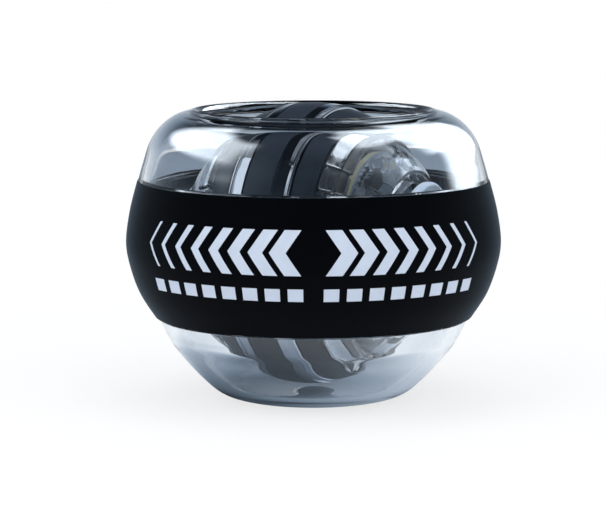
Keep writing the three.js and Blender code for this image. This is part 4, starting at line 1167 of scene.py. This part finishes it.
# %% Fork helper
FORK_START, FORK_END = 24.4 * MM, 26.2 * MM
FORK_HALF_WIDTH, FORK_HALF_HEIGHT, FORK_SLOT = 6 * MM, 3 * MM, 1.3 * MM
BUSH_SEAT = 3.4 * MM
AXLE_WAY, WAY_STEPS = BORE + 0.05 * MM, 6
HOLDER_SIDES = 120


def prong_section():
    """One prong seen along the axle, as (across, up), with the axle's way in its inner face."""
    reach = math.acos(FORK_SLOT / AXLE_WAY)
    angles = [reach * k / WAY_STEPS for k in range(-WAY_STEPS, WAY_STEPS + 1)]
    way = [(AXLE_WAY * math.sin(a), AXLE_WAY * math.cos(a)) for a in angles]
    return [(-FORK_HALF_WIDTH, FORK_SLOT), *way, (FORK_HALF_WIDTH, FORK_SLOT),
            (FORK_HALF_WIDTH, FORK_HALF_HEIGHT), (-FORK_HALF_WIDTH, FORK_HALF_HEIGHT)]


def holder(name, outline, node, back, turn):
    """A turned body with the two prongs of its fork, on the right or turned to the left end of the axle."""
    bm = turned_mesh(outline, turn @ ON_AXLE, HOLDER_SIDES)
    placing = turn @ Matrix.Translation((0, 0, AXLE_HEIGHT))
    for side in (-1, 1):
        near, far = [
            [bm.verts.new(placing @ Vector((along, across, side * up))) for across, up in prong_section()]
            for along in (back, FORK_END)]
        for i in range(len(near)):
            bm.faces.new((near[i - 1], near[i], far[i], far[i - 1]))
        bm.faces.new(near)
        bm.faces.new(far)
    mesh_piece(name, bm, SILVER_PLASTIC, "carrier", node, edge=0.15 * MM, edge_steps=3)


# %% Magnet disc
DISC_START, DISC_END, DISC_SINK = 21.6 * MM, 23.6 * MM, 0.4 * MM
DISC_RADIUS, DISC_CHAMFER, DISC_HUB = 12 * MM, 0.5 * MM, 4.6 * MM
hub_start = ends_along_axle("magnet_holder")[0]
magnet_disc = [(BUSH_SEAT, hub_start), (DISC_HUB, hub_start), (DISC_HUB, DISC_START),
               (DISC_RADIUS - DISC_CHAMFER, DISC_START), (DISC_RADIUS, DISC_START + DISC_CHAMFER),
               (DISC_RADIUS, DISC_END - DISC_CHAMFER), (DISC_RADIUS - DISC_CHAMFER, DISC_END),
               (BORE, DISC_END), (BORE, DISC_START), (BUSH_SEAT, DISC_START)]
holder("magnet_disc", magnet_disc, "magnet_holder", DISC_END - DISC_SINK, UPRIGHT)

# %% Spring drum and bushes
DRUM_RADIUS, DRUM_WALL, DRUM_CHAMFER, DRUM_SINK = 10.6 * MM, 1 * MM, 1 * MM, 0.2 * MM
DRUM_START, DRUM_FLOOR = 17.5 * MM, 22.8 * MM
COVER_SEAT, COVER_LEDGE, COVER_INNER, COVER_OUTER = 18.7 * MM, 0.6 * MM, 3.3 * MM, 9.3 * MM
BUSH_RADIUS = 3.1 * MM
drum = [(BUSH_SEAT, FORK_START), (DRUM_RADIUS - DRUM_CHAMFER, FORK_START),
        (DRUM_RADIUS, FORK_START - DRUM_CHAMFER), (DRUM_RADIUS, DRUM_START),
        (DRUM_RADIUS - DRUM_WALL, DRUM_START), (DRUM_RADIUS - DRUM_WALL, COVER_SEAT),
        (DRUM_RADIUS - DRUM_WALL - COVER_LEDGE, COVER_SEAT),
        (DRUM_RADIUS - DRUM_WALL - COVER_LEDGE, DRUM_FLOOR), (BUSH_SEAT, DRUM_FLOOR)]
holder("spring_drum", drum, "spring_housing", FORK_START - DRUM_SINK, Matrix.Rotation(math.pi, 4, "Z"))
for name, node, inner, outer, material in (
        ("drum_cover", "spring_cover", COVER_INNER, COVER_OUTER, STEEL),
        ("left_bush", "axle_bush_left", BORE, BUSH_RADIUS, BRASS),
        ("right_bush", "axle_bush_right", BORE, BUSH_RADIUS, BRASS)):
    ring = tube(inner, outer, *ends_along_axle(node))
    turned(name, ring, material, "carrier", node, sides=96, edge=0.12 * MM)

# %% [markdown]
# The axle is one ground steel bar, stepped down at both ends. The clutch between the start sleeve and the
# rotor is hidden in the left hub, and the start spring in its drum. So the spring, the cage and the
# rollers keep the shapes of the solids and only get their metals.

# %% Axle and clutch
AXLE_RADIUS, TIP_RADIUS, TIP_START, TIP_CHAMFER = 1.6 * MM, 1.1 * MM, 23.9 * MM, 0.3 * MM
SLEEVE_RADIUS, CUP_INNER = 2.7 * MM, 4.8 * MM
tip_end = ends_along_axle("axle")[1]
axle_half = [(AXLE_RADIUS, TIP_START), (TIP_RADIUS, TIP_START), (TIP_RADIUS, tip_end - TIP_CHAMFER),
             (TIP_RADIUS - TIP_CHAMFER, tip_end), (0, tip_end)]
turned("ground_axle", [*reversed(mirrored(axle_half)), *axle_half], STEEL, "rotor", "axle", sides=64,
       edge=0.1 * MM)
sleeve = tube(BORE, SLEEVE_RADIUS, *ends_along_axle("start_sleeve"))
turned("drive_sleeve", sleeve, STEEL, "start_drive", "start_sleeve", sides=64, edge=0.1 * MM)
cup = tube(CUP_INNER, CUP_OUTER, *ends_along_axle("clutch_cup"))
turned("hardened_cup", cup, STEEL, "rotor", "clutch_cup", sides=96, edge=0.1 * MM)
for name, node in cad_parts.items():
    if name in ("start_spring", "clutch_cage") or name.startswith("clutch_roller"):
        node.data.materials.clear()
        node.data.materials.append(BRASS if name == "clutch_cage" else STEEL)

# %% [markdown]
# Bolts, nuts and screws get their real heads. A screw has a dome with a cross recess, drawn as a thin dark
# cross just proud of it, whose dark colour is painted shade that stands for the shadow in the recess,
# because a cut so small would hardly show. A nut is a ring of six sides. Each outline is turned on its own
# node's line, with its distances counted along the axle.

# %% Fasteners
SCREW_SHANK, SCREW_HEAD = 0.8 * MM, 1.5 * MM
SCREW_DOME = ((1.5, 0.5), (1.3, 0.2), (0.9, 0.04), (0.5, 0), (0, 0))
CROSS_LONG, CROSS_WIDE, CROSS_DEEP, CROSS_PROUD = 0.75 * MM, 0.16 * MM, 0.1 * MM, 0.012 * MM
BOLT_SHANK, BOLT_HEAD, HEAD_SEAT, CHAMFER = 1.2 * MM, 2.3 * MM, 4.1 * MM, 0.3 * MM
BOLT_TIP, BOLT_CROWN, NUT_INNER = 0.9 * MM, 2 * MM, 1.3 * MM


def line_of(node):
    """Places an outline on the line of a node that lies along the axle."""
    low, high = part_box(node)
    middle = Matrix.Translation((0, (low.y + high.y) / 2, (low.z + high.z) / 2))
    return middle @ Matrix.Rotation(math.pi / 2, 4, "Y")


for k in (1, 2, 3):
    screw, bolt, nut = f"board_screw_{k}", f"core_bolt_{k}", f"core_nut_{k}"
    low, high = ends_along_axle(screw)
    outline = [(0, low), (SCREW_SHANK, low), (SCREW_SHANK, board_end), (SCREW_HEAD, board_end),
               *[(radius * MM, high - drop * MM) for radius, drop in SCREW_DOME]]
    turned(f"cross_screw_{k}", outline, STEEL, "rotor", screw, line_of(screw), sides=40)
    # The cross is painted shade: a dark block just proud of the head that stands for the shadow inside the
    # recess.
    cross = bmesh.new()
    for across, up in ((CROSS_LONG, CROSS_WIDE), (CROSS_WIDE, CROSS_LONG)):
        low_corner, high_corner = (-across, -up, high - CROSS_DEEP), (across, up, high + CROSS_PROUD)
        add_block(cross, low_corner, high_corner, line_of(screw))
    mesh_piece(f"painted_shade_cross_{k}", cross, CHIP, "rotor", slot="steel")
    low, high = ends_along_axle(bolt)
    outline = [(0, low), (BOLT_TIP, low), (BOLT_SHANK, low + CHAMFER), (BOLT_SHANK, HEAD_SEAT),
               (BOLT_HEAD, HEAD_SEAT), (BOLT_HEAD, high - CHAMFER), (BOLT_CROWN, high), (0, high)]
    turned(f"through_bolt_{k}", outline, STEEL, "rotor", bolt, line_of(bolt), sides=48)
    outline = tube(NUT_INNER, BOLT_HEAD, *ends_along_axle(nut))
    turned(f"hex_nut_{k}", outline, STEEL, "rotor", nut, line_of(nut), sides=6, edge=0.15 * MM)
